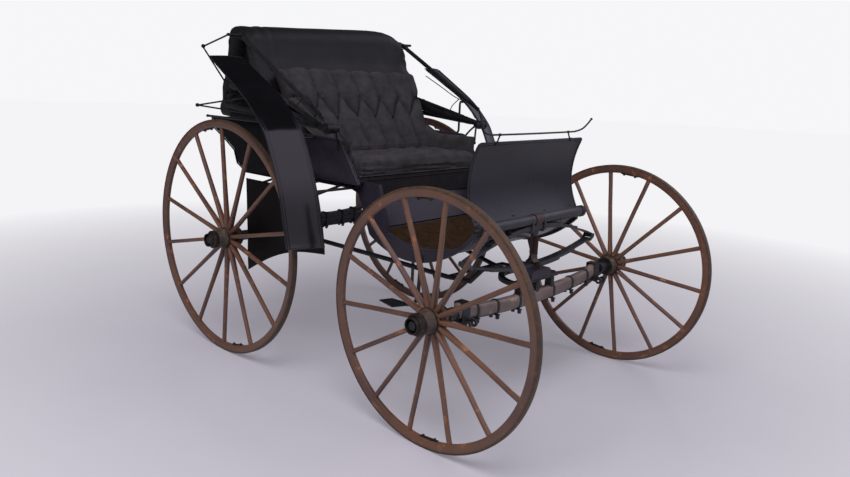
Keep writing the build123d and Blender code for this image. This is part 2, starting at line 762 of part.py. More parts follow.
def dash_slice(front, back, x_from, x_to):
    near, far = dash_curve(front), dash_curve(back)
    face = make_face([near, Line(near @ 1, far @ 1), far, Line(far @ 0, near @ 0)])
    return Pos(x_from, 0, 0) * extrude(Plane.YZ * face, x_to - x_from)


dash = dash_slice(0, dash_thickness, -dash_half_width, dash_half_width)
add("dash", dash)

rail_y = dash_y + dash_thickness / 2
rail_z = dash_top_z + rail_rise
horn_foot = rail_half_width - 0.7 * rail_horn
right_rail = [(-rail_half_width, rail_y - 20, rail_z + rail_horn),
              (-horn_foot, rail_y - 8, rail_z + 0.28 * rail_horn), (-horn_foot + 65, rail_y, rail_z)]
rail = rod(right_rail + [(-x, y, z) for x, y, z in reversed(right_rail)], rail_radius)
for side in (-1, 1):
    post_x = side * rail_post_share * dash_half_width
    foot = (post_x + side * post_lean, rail_y, dash_top_z - dash_thickness)
    rail += rod([foot, (post_x, rail_y, rail_z)], 0.8 * rail_radius)
rail -= dash

stays = []
for share in stay_shares:
    station = share * dash_half_width
    strip = dash_slice(dash_thickness + fit_gap, dash_thickness + fit_gap + stay_thickness,
                       station - stay_width / 2, station + stay_width / 2)
    strip &= box((0, dash_half_width), (dash_y, dash_y + 2 * dash_bulge), (0, dash_foot_z + dash_height / 2))
    leg_y = dash_y + dash_thickness + fit_gap
    leg = box((station - stay_width / 2, station + stay_width / 2), (leg_y, leg_y + stay_thickness),
              (side_front_z, dash_foot_z))
    stays += pair(strip + leg - floor)
add("dash_irons", rail, *stays)


# ---------------------------------------------------------------- fenders

fender_line = [
    (rear_axle_y - 663, rear_wheel_radius + 71), (rear_axle_y - 650, rear_wheel_radius + 120),
    (rear_axle_y - 605, rear_wheel_radius + 320), (rear_axle_y - 528, rear_wheel_radius + 510),
    (rear_axle_y - 467, rear_wheel_radius + 600), (rear_axle_y - 355, rear_wheel_radius + 700),
    (rear_axle_y - 200, rear_wheel_radius + 788), (rear_axle_y - 60, rear_wheel_radius + 861),
]
fender_path = Plane.YZ * Spline(*fender_line)
fender_middle = (fender_inner + fender_outer) / 2


def slant_at(x):
    """How far behind its middle line a fender lies at a distance x from the carriage's middle."""
    return fender_slant * (x - fender_middle) / (fender_outer - fender_inner)


def fender_edge(x):
    return Spline(*[(x, y + slant_at(x), z) for y, z in fender_line])


fender_skin = Face.make_surface_from_curves(fender_edge(fender_inner), fender_edge(fender_outer))
fender = thicken(fender_skin, fender_thickness / 2, both=True)
add("fender_left", fender)
add("fender_right", mirrored(fender))

curtain_rear = rear_axle_y - 34.0
curtain_low = rear_wheel_radius - 172.0
curtain_face = make_face([
    Line((curtain_rear, body_rear_z - 4), (curtain_rear - 8, curtain_low)),
    ThreePointArc((curtain_rear - 8, curtain_low), (rear_axle_y - 390, rear_wheel_radius - 32),
                  (rear_axle_y - 642, rear_wheel_radius + 22)),
    Polyline((rear_axle_y - 642, rear_wheel_radius + 22), (rear_axle_y - 636, rear_wheel_radius + 120),
             (rear_axle_y - 590, body_rear_z - 4), (curtain_rear, body_rear_z - 4)),
])
curtain = Pos(curtain_plane - curtain_thickness, 0, 0) * extrude(Plane.YZ * curtain_face, curtain_thickness)
add("side_curtains", *pair(curtain))


def under_fender(share, x):
    """A point of an iron that runs across under the fender, a share of the way up it."""
    point, direction = fender_path @ share, fender_path % share
    away = fender_thickness / 2 + 1.1 * side_iron_radius
    return (x, point.Y + away * direction.Z + slant_at(x), point.Z - away * direction.Y)


body_irons = []
low_end = under_fender(0.28, fender_inner)
body_irons.append(rod([under_fender(0.28, fender_outer - 20), low_end,
                       (body_half_width, low_end[1], seat_frame_z - 25)], side_iron_radius))
iron_x = pivot_station + 50
high_end = under_fender(0.72, iron_x)
body_irons.append(rod([under_fender(0.72, fender_outer - 20), high_end, (*high_end[:2], pivot_z - 60),
                       (seat_side_outer, high_end[1], pivot_z - 60)], side_iron_radius))
rest_x = pivot_station + 15
body_irons.append(rod([(seat_side_outer, back_y + 150, pivot_z - 60), (rest_x, back_y + 175, pivot_z),
                       (rest_x, rear_axle_y + 345, pivot_z)], side_iron_radius))
for y in (rear_axle_y - 560, rear_axle_y - 330, boot_y - 30):
    body_irons.append(rod([(body_half_width, y, body_rear_z + 18),
                           (curtain_plane - curtain_thickness, y, body_rear_z - 24)], side_iron_radius))
carriers = [fender, body_side, seat_side, curtain]
add("body_irons", *[solid for iron in body_irons for solid in pair(iron - carriers)])


# ---------------------------------------------------------------- folding top

def bow_point(angle, reach):
    turn = radians(angle)
    return (pivot_y + reach * cos(turn), pivot_z + reach * sin(turn))


pivot = Pos(pivot_station, pivot_y, pivot_z) * Rot(0, 90, 0) * Cylinder(pivot_radius, bow_thickness)
bow = pivot
for angle in bow_angles:
    slat = Pos(0, bow_length / 2, 0) * Box(bow_thickness, bow_length, bow_width)
    bow += Pos(pivot_station, pivot_y, pivot_z) * Rot(angle, 0, 0) * slat
add("hood_bows", *pair(bow))

hood_y = back_y + back_lean + back_depth + panel_depth
hood_rear = rear_axle_y + hood_tail
hood_front = (hood_y + 4, back_foot_z + back_height - 12)
hood_outline = Polyline(
    hood_front, (hood_rear - 220, hood_top_z - 14), (hood_rear - 203, hood_top_z), (hood_rear - 176, hood_top_z),
    (hood_rear - 153, hood_top_z - 16), (hood_rear - 103, hood_top_z - 137), (hood_rear - 43, hood_top_z - 267),
    (hood_rear, boot_top + soft_gap), (boot_y + 40, boot_top + soft_gap),
    (hood_y - 70, (hood_front[1] + boot_top) / 2), hood_front)
hood = side_plate(hood_outline, -hood_half_width, hood_half_width)
add("hood_leather", hood)

props = []
prop_x = pivot_station + bow_thickness / 2 + prop_offset
for start_angle, start_reach, knuckle, end_angle, end_reach in (
    (bow_angles[0], bow_length - 20, (rear_axle_y + 274, seat_top_z + 571), bow_angles[2], 655),
    (bow_angles[2], 535, (rear_axle_y + 344, seat_top_z + 275), bow_angles[3], 410),
):
    first = bow_point(start_angle, start_reach)
    last = bow_point(end_angle, end_reach)
    iron = rod([(prop_x, *first), (prop_x + 4, *knuckle)], prop_radius)
    iron += rod([(prop_x + 4, *knuckle), (prop_x, *last)], prop_radius)
    iron += Pos(0, *knuckle) * stud(prop_knuckle_radius, prop_x - 2 * prop_radius, prop_x + 2 * prop_radius)
    for y, z in (first, last):
        iron += Pos(0, y, z) * stud(9, pivot_station + bow_thickness / 2, prop_x + prop_radius)
    props += pair(iron)
add("prop_irons", *props)


# ---------------------------------------------------------------- reach

tie_y = front_axle_y + reach_tie_behind
tie_z = front_wheel_radius + 4
reach_low = rear_axle_top - 8
reach_end_y = rear_axle_y - bed_width / 2 - fit_gap
block_rear_y = block_y + head_block_length / 2
block_rear_z = head_block_z + head_block_height / 2 + 6
arm = rod([(50, block_rear_y, block_rear_z), (122, front_axle_y + ring_radius + 35, block_rear_z - 12),
           (150, front_axle_y + ring_radius + 85, front_wheel_radius + 2), (reach_tie_station, tie_y, tie_z),
           (250, tie_y + 304, tie_z + 32), (340, rear_axle_y - 335, reach_low - 11),
           (reach_end_station, reach_end_y - 30, reach_low), (reach_end_station, reach_end_y, reach_low)], reach_radius)
centre_stay = rod([(0, block_rear_y, block_rear_z), (0, front_axle_y + ring_radius + 20, block_rear_z - 4),
                   (0, tie_y, tie_z)], 0.7 * reach_radius)
tie = Pos(0, tie_y, tie_z) * along_x(0.7 * reach_radius, -reach_tie_station, reach_tie_station)
add("reach", mirrored(arm) + centre_stay + tie + arm - block)

os.makedirs("parts", exist_ok=True)
for name, solids in nodes.items():
    export_step(solids[0] if len(solids) == 1 else Compound(solids), f"parts/{name}.step")
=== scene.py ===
"""A light four-wheeled carriage with a buttoned seat and a folded leather top.

Sizes are in metres unless a name says mm.
"""

import json
import math

import bmesh
import bpy
from mathutils import Matrix, Vector, noise


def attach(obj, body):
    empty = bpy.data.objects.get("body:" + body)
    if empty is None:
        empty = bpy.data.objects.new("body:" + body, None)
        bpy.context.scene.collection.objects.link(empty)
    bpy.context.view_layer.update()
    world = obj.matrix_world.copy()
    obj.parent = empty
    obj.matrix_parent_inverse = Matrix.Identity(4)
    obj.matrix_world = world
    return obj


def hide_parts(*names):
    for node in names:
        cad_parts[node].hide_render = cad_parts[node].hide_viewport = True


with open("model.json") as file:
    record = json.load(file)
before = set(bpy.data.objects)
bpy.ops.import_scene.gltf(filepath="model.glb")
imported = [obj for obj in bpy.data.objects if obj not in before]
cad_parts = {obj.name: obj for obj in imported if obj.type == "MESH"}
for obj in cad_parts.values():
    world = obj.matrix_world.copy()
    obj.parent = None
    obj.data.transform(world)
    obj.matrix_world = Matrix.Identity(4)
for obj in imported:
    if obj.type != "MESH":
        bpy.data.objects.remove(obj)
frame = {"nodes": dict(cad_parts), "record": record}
noise.seed_set(1)  # without a seed, the vector noise starts from the clock
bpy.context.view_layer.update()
scene = bpy.context.scene
scene.view_settings.view_transform = "Standard"
NODES = frame["nodes"]

# Places that several pieces share, as in the part.
FRONT_AXLE_Y, REAR_AXLE_Y, HALF_TRACK = -0.7306, 0.6544, 0.711
FRONT_RADIUS, REAR_RADIUS = 0.508, 0.5842
SPRING_Y, BAR_Z = -0.7086, 0.8143
SEAT_TOP_Z, BACK_FOOT = 0.9453, (0.2994, 1.0293)
BACK_RISE, BACK_LEAN = 0.407, 0.210
PIVOT_X, PIVOT_Y, PIVOT_Z = 0.56, 0.0494, 1.1653

# The spacing of the seat's buttons.
TUFT_PITCH = 0.130

# The dash: its face, its foot, its rise, and the belly that is deepest a share of the way up.
DASH_Y, DASH_FOOT_Z, DASH_RISE = -0.6826, 0.8223, 0.336
DASH_BELLY, BELLY_SHARE = 0.046, 0.47

# A rear wing: its line about the wheel's centre, its two edges, and the outer edge's slant to the rear.
WING_LINE = [(-0.663, 0.071), (-0.650, 0.120), (-0.605, 0.320), (-0.528, 0.510), (-0.467, 0.600),
             (-0.355, 0.702), (-0.200, 0.796), (-0.060, 0.877)]
WING_INNER, WING_OUTER, WING_SLANT = 0.638, 0.792, 0.064

# The folded top's bows: how far they reach from the stud, and the angle of the first, in degrees.
BOW_LENGTH, FIRST_BOW_LENGTH, FIRST_BOW_ANGLE = 0.788, 0.725, 29.6

# The thin guard that loops from the first bow over the roll, and its tie down to the roll.
GUARD_LINE = [(0.484, 1.418), (0.371, 1.365), (0.277, 1.318), (0.224, 1.298), (0.186, 1.289), (0.140, 1.247),
              (0.101, 1.200)]
GUARD_TIE = [(0.286, 1.222), (0.273, 1.256), (0.224, 1.298)]


# ---------------------------------------------------------------- camera, light and floor

def add_camera():
    """A camera at eye height ahead of the carriage's right front wheel."""
    heading, dip, roll = 0.8341, 0.2134, 0.0414
    ahead = Vector((math.sin(heading) * math.cos(dip), math.cos(heading) * math.cos(dip), -math.sin(dip)))
    level = Vector((math.cos(heading), -math.sin(heading), 0))
    lift = level.cross(ahead)
    right = math.cos(roll) * level + math.sin(roll) * lift
    top = math.cos(roll) * lift - math.sin(roll) * level
    data = bpy.data.cameras.new("camera")
    data.sensor_width, data.lens = 36, 30.66
    data.clip_start, data.clip_end = 0.05, 80
    camera = bpy.data.objects.new("camera", data)
    scene.collection.objects.link(camera)
    facing = Matrix((right, top, -ahead)).transposed().to_4x4()
    camera.matrix_world = Matrix.Translation((-2.6418, -2.4548, 1.3868)) @ facing
    scene.camera = camera


def add_lamp(name, place, size, power):
    """A soft square lamp that faces the seat."""
    data = bpy.data.lights.new(name, "AREA")
    data.size, data.energy = size, power
    lamp = bpy.data.objects.new(name, data)
    scene.collection.objects.link(lamp)
    lamp.location = place
    lamp.rotation_euler = (Vector((0, 0, 0.7)) - Vector(place)).to_track_quat("-Z", "Y").to_euler()
    lamp.visible_glossy = False


# ---------------------------------------------------------------- materials

def linear(code):
    """An sRGB hex colour as linear red, green, blue and alpha."""
    parts = [int(code[i:i + 2], 16) / 255 for i in (0, 2, 4)]
    return [c / 12.92 if c <= 0.04045 else ((c + 0.055) / 1.055) ** 2.4 for c in parts] + [1]


def add_node(tree, kind, inputs, **settings):
    """Adds a node. Settings are its own, and inputs are values or other nodes' outputs."""
    made = tree.nodes.new(kind)
    for key, value in settings.items():
        setattr(made, key, value)
    for key, value in inputs.items():
        if isinstance(value, bpy.types.NodeSocket):
            tree.links.new(value, made.inputs[key])
        else:
            made.inputs[key].default_value = value
    return made


def noise_at(tree, place, size_mm, detail, **inputs):
    """Noise whose patches are about a size in mm across."""
    return add_node(tree, "ShaderNodeTexNoise", {"Vector": place, "Scale": 1000 / size_mm, "Detail": detail,
                                                 **inputs}).outputs["Fac"]


def fit(tree, value, low, high, to_low=0.0, to_high=1.0):
    """A value moved from one range to another, and held inside it."""
    return add_node(tree, "ShaderNodeMapRange", {"Value": value, "From Min": low, "From Max": high,
                                                 "To Min": to_low, "To Max": to_high}).outputs[0]


def blend(tree, share, first, second):
    """A colour between two others."""
    return add_node(tree, "ShaderNodeMix", {0: share, 6: first, 7: second}, data_type="RGBA").outputs[2]


def compute(tree, operation, *values):
    return add_node(tree, "ShaderNodeMath", dict(enumerate(values)), operation=operation).outputs[0]


def start_material(name):
    material = bpy.data.materials.new(name)
    material.use_nodes = True
    tree = material.node_tree
    tree.nodes.clear()
    place = tree.nodes.new("ShaderNodeTexCoord").outputs["Object"]
    return material, tree, place


def surface(name, main, second, patch_mm, rough, grain_mm, grain_depth_mm, worn=None, worn_mm=30,
            worn_share=0.3, stretch=(1, 1, 1), pebble_mm=0, metallic=0, ior=1.5, coat=0, sheen=0, swell_mm=0,
            swell_depth_mm=0):
    """Two colours in soft patches, a worn colour in sharper ones if given, uneven gloss and a fine relief."""
    material, tree, place = start_material(name)
    placed = add_node(tree, "ShaderNodeMapping", {"Vector": place, "Scale": stretch}).outputs[0]
    patches = noise_at(tree, placed, patch_mm, 5.0, Roughness=0.6)
    colour = blend(tree, fit(tree, patches, 0.35, 0.65), linear(main), linear(second))
    if worn:
        flecks = noise_at(tree, placed, worn_mm, 8.0, Roughness=0.7)
        edge = 0.5 + 0.2 * (1 - 2 * worn_share)
        colour = blend(tree, fit(tree, flecks, edge - 0.02, edge + 0.06), colour, linear(worn))
    gloss = fit(tree, patches, 0.3, 0.7, *rough)
    fine = noise_at(tree, placed, grain_mm, 4.0)
    if pebble_mm:
        fine = add_node(tree, "ShaderNodeTexVoronoi", {"Vector": placed,
                                                       "Scale": 1000 / pebble_mm}).outputs["Distance"]
    relief = add_node(tree, "ShaderNodeBump", {"Height": fine, "Strength": 1.0,
                                               "Distance": grain_depth_mm / 1000})
    if swell_mm:
        slow = noise_at(tree, place, swell_mm, 2.0)
        relief = add_node(tree, "ShaderNodeBump", {"Height": slow, "Strength": 1.0,
                                                   "Normal": relief.outputs[0],
                                                   "Distance": swell_depth_mm / 1000})
    skin = add_node(tree, "ShaderNodeBsdfPrincipled", {
        "Base Color": colour, "Roughness": gloss, "Metallic": metallic, "Normal": relief.outputs[0],
        "Coat Weight": coat, "Coat Roughness": 0.12, "Sheen Weight": sheen, "Sheen Roughness": 0.5})
    if not metallic:
        skin.inputs["IOR"].default_value = ior
    add_node(tree, "ShaderNodeOutputMaterial", {"Surface": skin.outputs[0]})
    return material


# Hickory spokes and bent rims under aged reddish-brown varnish: warm, satin, worn to orange-brown in flecks.
VARNISHED_HICKORY = surface("varnished_hickory", "4a332d", "60402f", 260, (0.34, 0.50), 3, 0.25,
                            worn="8a5838", worn_mm=55, worn_share=0.24, coat=0.35)
# Hub shells of elm under old brown-black varnish, handled and greasy.
HUB_WOOD = surface("greased_hub_wood", "473a32", "2a211c", 22, (0.42, 0.6), 3, 0.5, worn="65554a", worn_mm=14,
                   worn_share=0.3)
# Rolled hoop iron: dull brown-grey, with thin rust and a rubbed tread.
HOOP_IRON = surface("rolled_hoop_iron", "3d3330", "54402f", 25, (0.38, 0.6), 2, 0.15, worn="6d4a30",
                    worn_mm=18, worn_share=0.25, metallic=0.35)
# Cast and turned hub iron under worn paint: grey-brown with bare darker metal.
HUB_IRON = surface("worn_hub_iron", "262120", "171414", 22, (0.34, 0.55), 2, 0.25, worn="463c35", worn_mm=10,
                   worn_share=0.3, metallic=0.35)
BARE_BLACK_IRON = surface("blacked_iron", "0b0b0c", "131315", 30, (0.35, 0.55), 2, 0.15, metallic=0.2)
# Brass edge of a hub band: dull yellow where it is rubbed.
BRASS = surface("rubbed_brass", "5e4e38", "332a22", 15, (0.30, 0.5), 2, 0.1, metallic=0.9)
# Wrought iron under black coach paint: brushed-on, satin, with brown rubs at the clips.
PAINTED_IRON = surface("brush_painted_wrought_iron", "131316", "1d1c1f", 40, (0.36, 0.58), 3, 0.2,
                       worn="2c211b", worn_mm=25, worn_share=0.2)
SPRING_STEEL = surface("painted_leaf_steel", "1d1e23", "2a2b30", 50, (0.28, 0.44), 3, 0.2, worn="383636",
                       worn_mm=30, worn_share=0.15)
# Ash axle beds: worn brown-grey coach paint, scuffed along the length.
BED_ASH = surface("worn_painted_ash", "4a3d3a", "6b5b57", 60, (0.36, 0.55), 5, 0.3, worn="8b7565", worn_mm=34,
                  worn_share=0.25, stretch=(0.45, 1, 1), coat=0.3)
# Body panels: black coach varnish over wood, rubbed smooth, with a slight wave.
BLACK_VARNISH = surface("rubbed_black_coach_varnish", "231f28", "29252f", 160, (0.24, 0.34), 5, 0.05,
                        ior=1.35, coat=0.1, swell_mm=220, swell_depth_mm=0.3)
# Patent leather of the dash: japanned smooth, blue-black, satin with age.
PATENT_LEATHER = surface("japanned_patent_leather", "12131b", "161720", 260, (0.26, 0.30), 3, 0.02,
                         swell_mm=160, swell_depth_mm=0.5)
# Patent leather of the wings: the same japan, kept bright, so that it mirrors the room sharply.
BRIGHT_PATENT = surface("bright_patent_leather", "070709", "0b0a0d", 160, (0.10, 0.18), 3, 0.03, swell_mm=160,
                        swell_depth_mm=0.3, coat=0.3)
# Grained top leather: dull black hide with a pebble grain and pale rubs on the folds.
TOP_LEATHER = surface("grained_top_leather", "0b0b0c", "101011", 110, (0.44, 0.62), 3, 0.35, worn="1b1a1b",
                      worn_mm=50, worn_share=0.12, ior=1.4, pebble_mm=3.5, swell_mm=70, swell_depth_mm=1.6)
# Oiled leather of the boot and curtains, nearly black and dull: partly the black leather, partly painted shade,
# darkened to the shade the boot sits in between other parts.
SHADE_DARKENED_LEATHER = surface("oiled_leather_with_painted_shade", "070606", "0c0a0a", 90, (0.45, 0.62), 3, 0.3, worn="17100d",
                        worn_mm=45, worn_share=0.15, ior=1.35, swell_mm=80, swell_depth_mm=1.4)
HARNESS_LEATHER = surface("waxed_harness_leather", "121112", "1c1a1b", 40, (0.30, 0.46), 3, 0.2,
                          worn="2c292a", worn_mm=30, worn_share=0.2)
# Wool broadcloth: milled charcoal cloth, matt, dusty on the puffs.
BROADCLOTH = surface("milled_wool_broadcloth", "2a272b", "353236", 60, (0.9, 1.0), 1.6, 0.35, worn="3d3a3e",
                     worn_mm=28, worn_share=0.18, ior=1.2)
# Tanned strap leather gone dark brown with oil.
STRAP_LEATHER = surface("dark_tanned_strap", "2a1d1c", "352624", 40, (0.42, 0.6), 3, 0.3)
# Cloth of the seat's fall: a coarser copy of the cushions' cloth, painted darker than the cushions as painted
# shade below the cushion's edge.
SHADED_FALL_CLOTH = surface("fall_cloth_darkened_as_shade", "1c1a1c", "232124", 60, (0.85, 0.97), 2, 0.4, worn="2f2c2f",
                     worn_mm=24, worn_share=0.2, ior=1.25)
CORD_MAT = surface("woven_coir_mat", "20160e", "2c1f14", 30, (0.9, 1.0), 3, 0.8, worn="3d2c1c", worn_mm=14,
                   worn_share=0.25, ior=1.2)

SLOT_MATERIAL = {
    "tyre_iron": HOOP_IRON, "wheel_wood": VARNISHED_HICKORY, "hub_iron": HUB_IRON,
    "running_gear_iron": PAINTED_IRON,
    "spring_steel": SPRING_STEEL, "bed_wood": BED_ASH, "black_wood": BLACK_VARNISH, "mat_fabric": CORD_MAT,
    "cushion_cloth": BROADCLOTH, "dash_leather": PATENT_LEATHER, "hood_leather": TOP_LEATHER,
    "strap_leather": HARNESS_LEATHER, "trim_iron": BARE_BLACK_IRON,
}


def dress_cad():
    """Gives every CAD node the material of its slot, but the rear axle bed and the back panel the black
    varnish.
    """
    for part in frame["record"]["subparts"]:
        mesh = NODES[part["node"]].data
        mesh.materials.clear()
        black = part["node"] in ("rear_axle_bed", "back_panel")
        mesh.materials.append(BLACK_VARNISH if black else SLOT_MATERIAL[part["material_slot"]])


def add_floor():
    """A pale polished floor that fades to white away from the carriage, and glows for the camera as painted
    light that lifts the shadows under it.
    """
    material, tree, place = start_material("polished_pale_floor")
    away = add_node(tree, "ShaderNodeVectorMath", {0: place}, operation="LENGTH").outputs["Value"]
    fade = fit(tree, away, 1.2, 5.0)
    clouds = add_node(tree, "ShaderNodeTexNoise", {"Vector": place, "Scale": 0.9,
                                                   "Detail": 3.0}).outputs["Fac"]
    pale = blend(tree, fade, blend(tree, clouds, linear("aca8b4"), linear("b8b4bf")), linear("f4f3f6"))
    path = tree.nodes.new("ShaderNodeLightPath").outputs
    base = blend(tree, path["Is Glossy Ray"], pale, linear("a3a0a9"))
    ripple = add_node(tree, "ShaderNodeTexNoise", {"Vector": place, "Scale": 6.0,
                                                   "Detail": 3.0}).outputs["Fac"]
    relief = add_node(tree, "ShaderNodeBump", {"Height": ripple, "Strength": 0.15,
                                               "Distance": 0.004}).outputs[0]
    skin = add_node(tree, "ShaderNodeBsdfPrincipled", {"Base Color": base, "Roughness": 0.16,
                                                       "Normal": relief, "Specular IOR Level": 0.35}).outputs[0]
    # Painted light: a glow seen only by the camera, three tenths of the floor's look near the carriage, lifts
    # the shadows under it; far off it is the white backdrop.
    backdrop_and_painted_glow = add_node(tree, "ShaderNodeEmission", {"Color": pale, "Strength": 1.0}).outputs[0]
    share = fit(tree, fade, 0.0, 1.0, 0.30, 1.0)
    seen = compute(tree, "MULTIPLY", path["Is Camera Ray"], share)
    mixed = add_node(tree, "ShaderNodeMixShader", {0: seen, 1: skin, 2: backdrop_and_painted_glow}).outputs[0]
    add_node(tree, "ShaderNodeOutputMaterial", {"Surface": mixed})
    bm = bmesh.new()
    bmesh.ops.create_circle(bm, cap_ends=True, segments=96, radius=30)
    mesh = bpy.data.meshes.new("floor")
    bm.to_mesh(mesh)
    bm.free()
    mesh.materials.append(material)
    floor = bpy.data.objects.new("studio_floor", mesh)
    scene.collection.objects.link(floor)


def add_world():
    """Even pale light. It is seen as white, and mirrored as pale walls, a dark ceiling and a dimmer rear."""
    world = bpy.data.worlds.new("studio")
    scene.world = world
    world.use_nodes = True
    tree = world.node_tree
    tree.nodes.clear()
    path = tree.nodes.new("ShaderNodeLightPath")
    toward = tree.nodes.new("ShaderNodeTexCoord").outputs["Object"]
    parts = add_node(tree, "ShaderNodeSeparateXYZ", {0: toward}).outputs
    walls = fit(tree, parts["Z"], 0.10, 0.50, 0.48, 1.12)
    slope = compute(tree, "MULTIPLY_ADD", parts["Y"], 0.25, parts["Z"])
    ceiling = fit(tree, slope, 0.74, 0.79, 1.0, 0.03)
    behind = fit(tree, parts["Y"], -0.1, 0.4, 1.0, 0.16)
    mirrored = compute(tree, "MULTIPLY", compute(tree, "MULTIPLY", walls, ceiling), behind)
    lit = add_node(tree, "ShaderNodeMix", {0: path.outputs["Is Glossy Ray"], 2: 0.47, 3: mirrored}).outputs[0]
    strength = add_node(tree, "ShaderNodeMix", {0: path.outputs["Is Camera Ray"], 2: lit, 3: 1.0}).outputs[0]
    tint = blend(tree, path.outputs["Is Glossy Ray"], linear("f6f6f8"), linear("e6dff3"))
    sky = add_node(tree, "ShaderNodeBackground", {"Color": tint, "Strength": strength}).outputs[0]
    add_node(tree, "ShaderNodeOutputWorld", {"Surface": sky})


# ---------------------------------------------------------------- shaping

def put(mesh, name, material, body, stands_for=(), crease=35):
    """Makes a finished mesh a piece that rides on a body."""
    mesh.name = name
    mesh.materials.clear()
    mesh.materials.append(material)
    mesh.polygons.foreach_set("use_smooth", [True] * len(mesh.polygons))
    mesh.set_sharp_from_angle(angle=math.radians(crease))
    piece = bpy.data.objects.new(name, mesh)
    scene.collection.objects.link(piece)
    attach(piece, body)
    if stands_for:
        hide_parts(*stands_for)
    return piece


def finish(bm, name, material, body, stands_for=(), crease=35):
    """Turns a bmesh into a piece."""
    bmesh.ops.remove_doubles(bm, verts=bm.verts, dist=0.00002)
    bmesh.ops.recalc_face_normals(bm, faces=bm.faces)
    mesh = bpy.data.meshes.new(name)
    bm.to_mesh(mesh)
    bm.free()
    return put(mesh, name, material, body, stands_for, crease)


def merge(bm, other, place=Matrix()):
    """Adds a moved bmesh to another one."""
    other.transform(place)
    mesh = bpy.data.meshes.new("merged")
    other.to_mesh(mesh)
    other.free()
    bm.from_mesh(mesh)
    bpy.data.meshes.remove(mesh)


def wobble(x, y, z):
    """Smooth noise between -1 and 1."""
    return noise.noise(Vector((x, y, z)))


def pull_out(bm, edges):
    """Extrudes a ring of edges, and gives the new corners and edges."""
    made = bmesh.ops.extrude_edge_only(bm, edges=edges)["geom"]
    corners = [item for item in made if isinstance(item, bmesh.types.BMVert)]
    return corners, [item for item in made if isinstance(item, bmesh.types.BMEdge)]


def close_ends(bm):
    bmesh.ops.holes_fill(bm, edges=[edge for edge in bm.edges if edge.is_boundary], sides=0)


def round_edges(bm, edges, offset, segments):
    bmesh.ops.bevel(bm, geom=edges, offset=offset, segments=segments, profile=0.5, affect="EDGES",
                    material=-1)


def plate(points, move):
    """A flat plate: an outline of points, thickened by a move."""
    bm = bmesh.new()
    face = bm.faces.new([bm.verts.new(point) for point in points])
    made = bmesh.ops.extrude_face_region(bm, geom=[face])["geom"]
    bmesh.ops.translate(bm, vec=move, verts=[item for item in made if isinstance(item, bmesh.types.BMVert)])
    return bm


def turned(profile, steps=72):
    """A ring or solid turned about X from a closed side profile of (x, radius)."""
    bm = bmesh.new()
    corners = [bm.verts.new((x, 0, r)) for x, r in profile]
    edges = [bm.edges.new(ends) for ends in zip(corners, corners[1:] + corners[:1])]
    bmesh.ops.spin(bm, geom=corners + edges, axis=(1, 0, 0), angle=math.tau, steps=steps, use_merge=True)
    bmesh.ops.remove_doubles(bm, verts=bm.verts, dist=0.00002)
    return bm


def drawn(stations, sides=14):
    """A form drawn along Z through rings. A station is its height, its X offset and its two widths."""
    bm = bmesh.new()
    ring = bmesh.ops.create_circle(bm, segments=sides, radius=0.5)["verts"]
    edges = list(bm.edges)
    now = Matrix()
    for index, (height, offset, across, along) in enumerate(stations):
        if index:
            ring, edges = pull_out(bm, edges)
        new = Matrix.Translation((offset, 0, height)) @ Matrix.Diagonal((across, along, 1, 1))
        bmesh.ops.transform(bm, matrix=new @ now.inverted(), verts=ring)
        now = new
    close_ends(bm)
    return bm


def swept(places, sides=20, square=1.0):
    """A closed form through rings of radius 1 put in places. Square below 1 gives it flat sides."""
    bm = bmesh.new()
    ring = bmesh.ops.create_circle(bm, segments=sides, radius=1)["verts"]
    for corner in ring:
        corner.co = [math.copysign(abs(v) ** square, v) if abs(v) > 0.001 else 0.0 for v in corner.co]
    edges, now = list(bm.edges), Matrix()
    for index, new in enumerate(places):
        if index:
            ring, edges = pull_out(bm, edges)
        bmesh.ops.transform(bm, matrix=new @ now.inverted(), verts=ring)
        now = new
    close_ends(bm)
    return bm


def add_block(bm, low, high, bevel=0.002, segments=2):
    """A rectangular block with rounded edges."""
    low, high = Vector(low), Vector(high)
    block = bmesh.new()
    bmesh.ops.create_cube(block, size=1)
    block.transform(Matrix.Translation((low + high) / 2) @ Matrix.Diagonal((*(high - low), 1)))
    round_edges(block, block.edges[:], bevel, segments)
    merge(bm, block)


def add_rod(bm, points, radius, around=4):
    """A rod through the points, straight from one to the next."""
    data = bpy.data.curves.new("rod", "CURVE")
    data.dimensions, data.bevel_depth, data.bevel_resolution = "3D", radius, around
    data.use_fill_caps, data.resolution_u, data.twist_mode = True, 8, "MINIMUM"
    line = data.splines.new("POLY")
    line.points.add(len(points) - 1)
    for point, co in zip(line.points, points):
        point.co = (*co, 1)
    rod = bpy.data.objects.new("rod", data)
    mesh = bpy.data.meshes.new_from_object(rod)
    bpy.data.objects.remove(rod)
    bpy.data.curves.remove(data)
    bm.from_mesh(mesh)
    bpy.data.meshes.remove(mesh)


def add_knob(bm, centre, radius, length=None, axis="X"):
    """A rounded stud along an axis, or a ball where it has no length."""
    knob = bmesh.new()
    if length is None:
        bmesh.ops.create_uvsphere(knob, u_segments=16, v_segments=10, radius=radius)
    else:
        bmesh.ops.create_cone(knob, cap_ends=True, segments=20, radius1=radius, radius2=radius, depth=length)
        rims = [edge for edge in knob.edges if abs(edge.verts[0].co.z - edge.verts[1].co.z) < length / 2]
        round_edges(knob, rims, min(radius, length) * 0.3, 2)
        if axis == "X":
            knob.transform(Matrix.Rotation(math.pi / 2, 4, "Y"))
        elif axis == "Y":
            knob.transform(Matrix.Rotation(math.pi / 2, 4, "X"))
    merge(bm, knob, Matrix.Translation(centre))


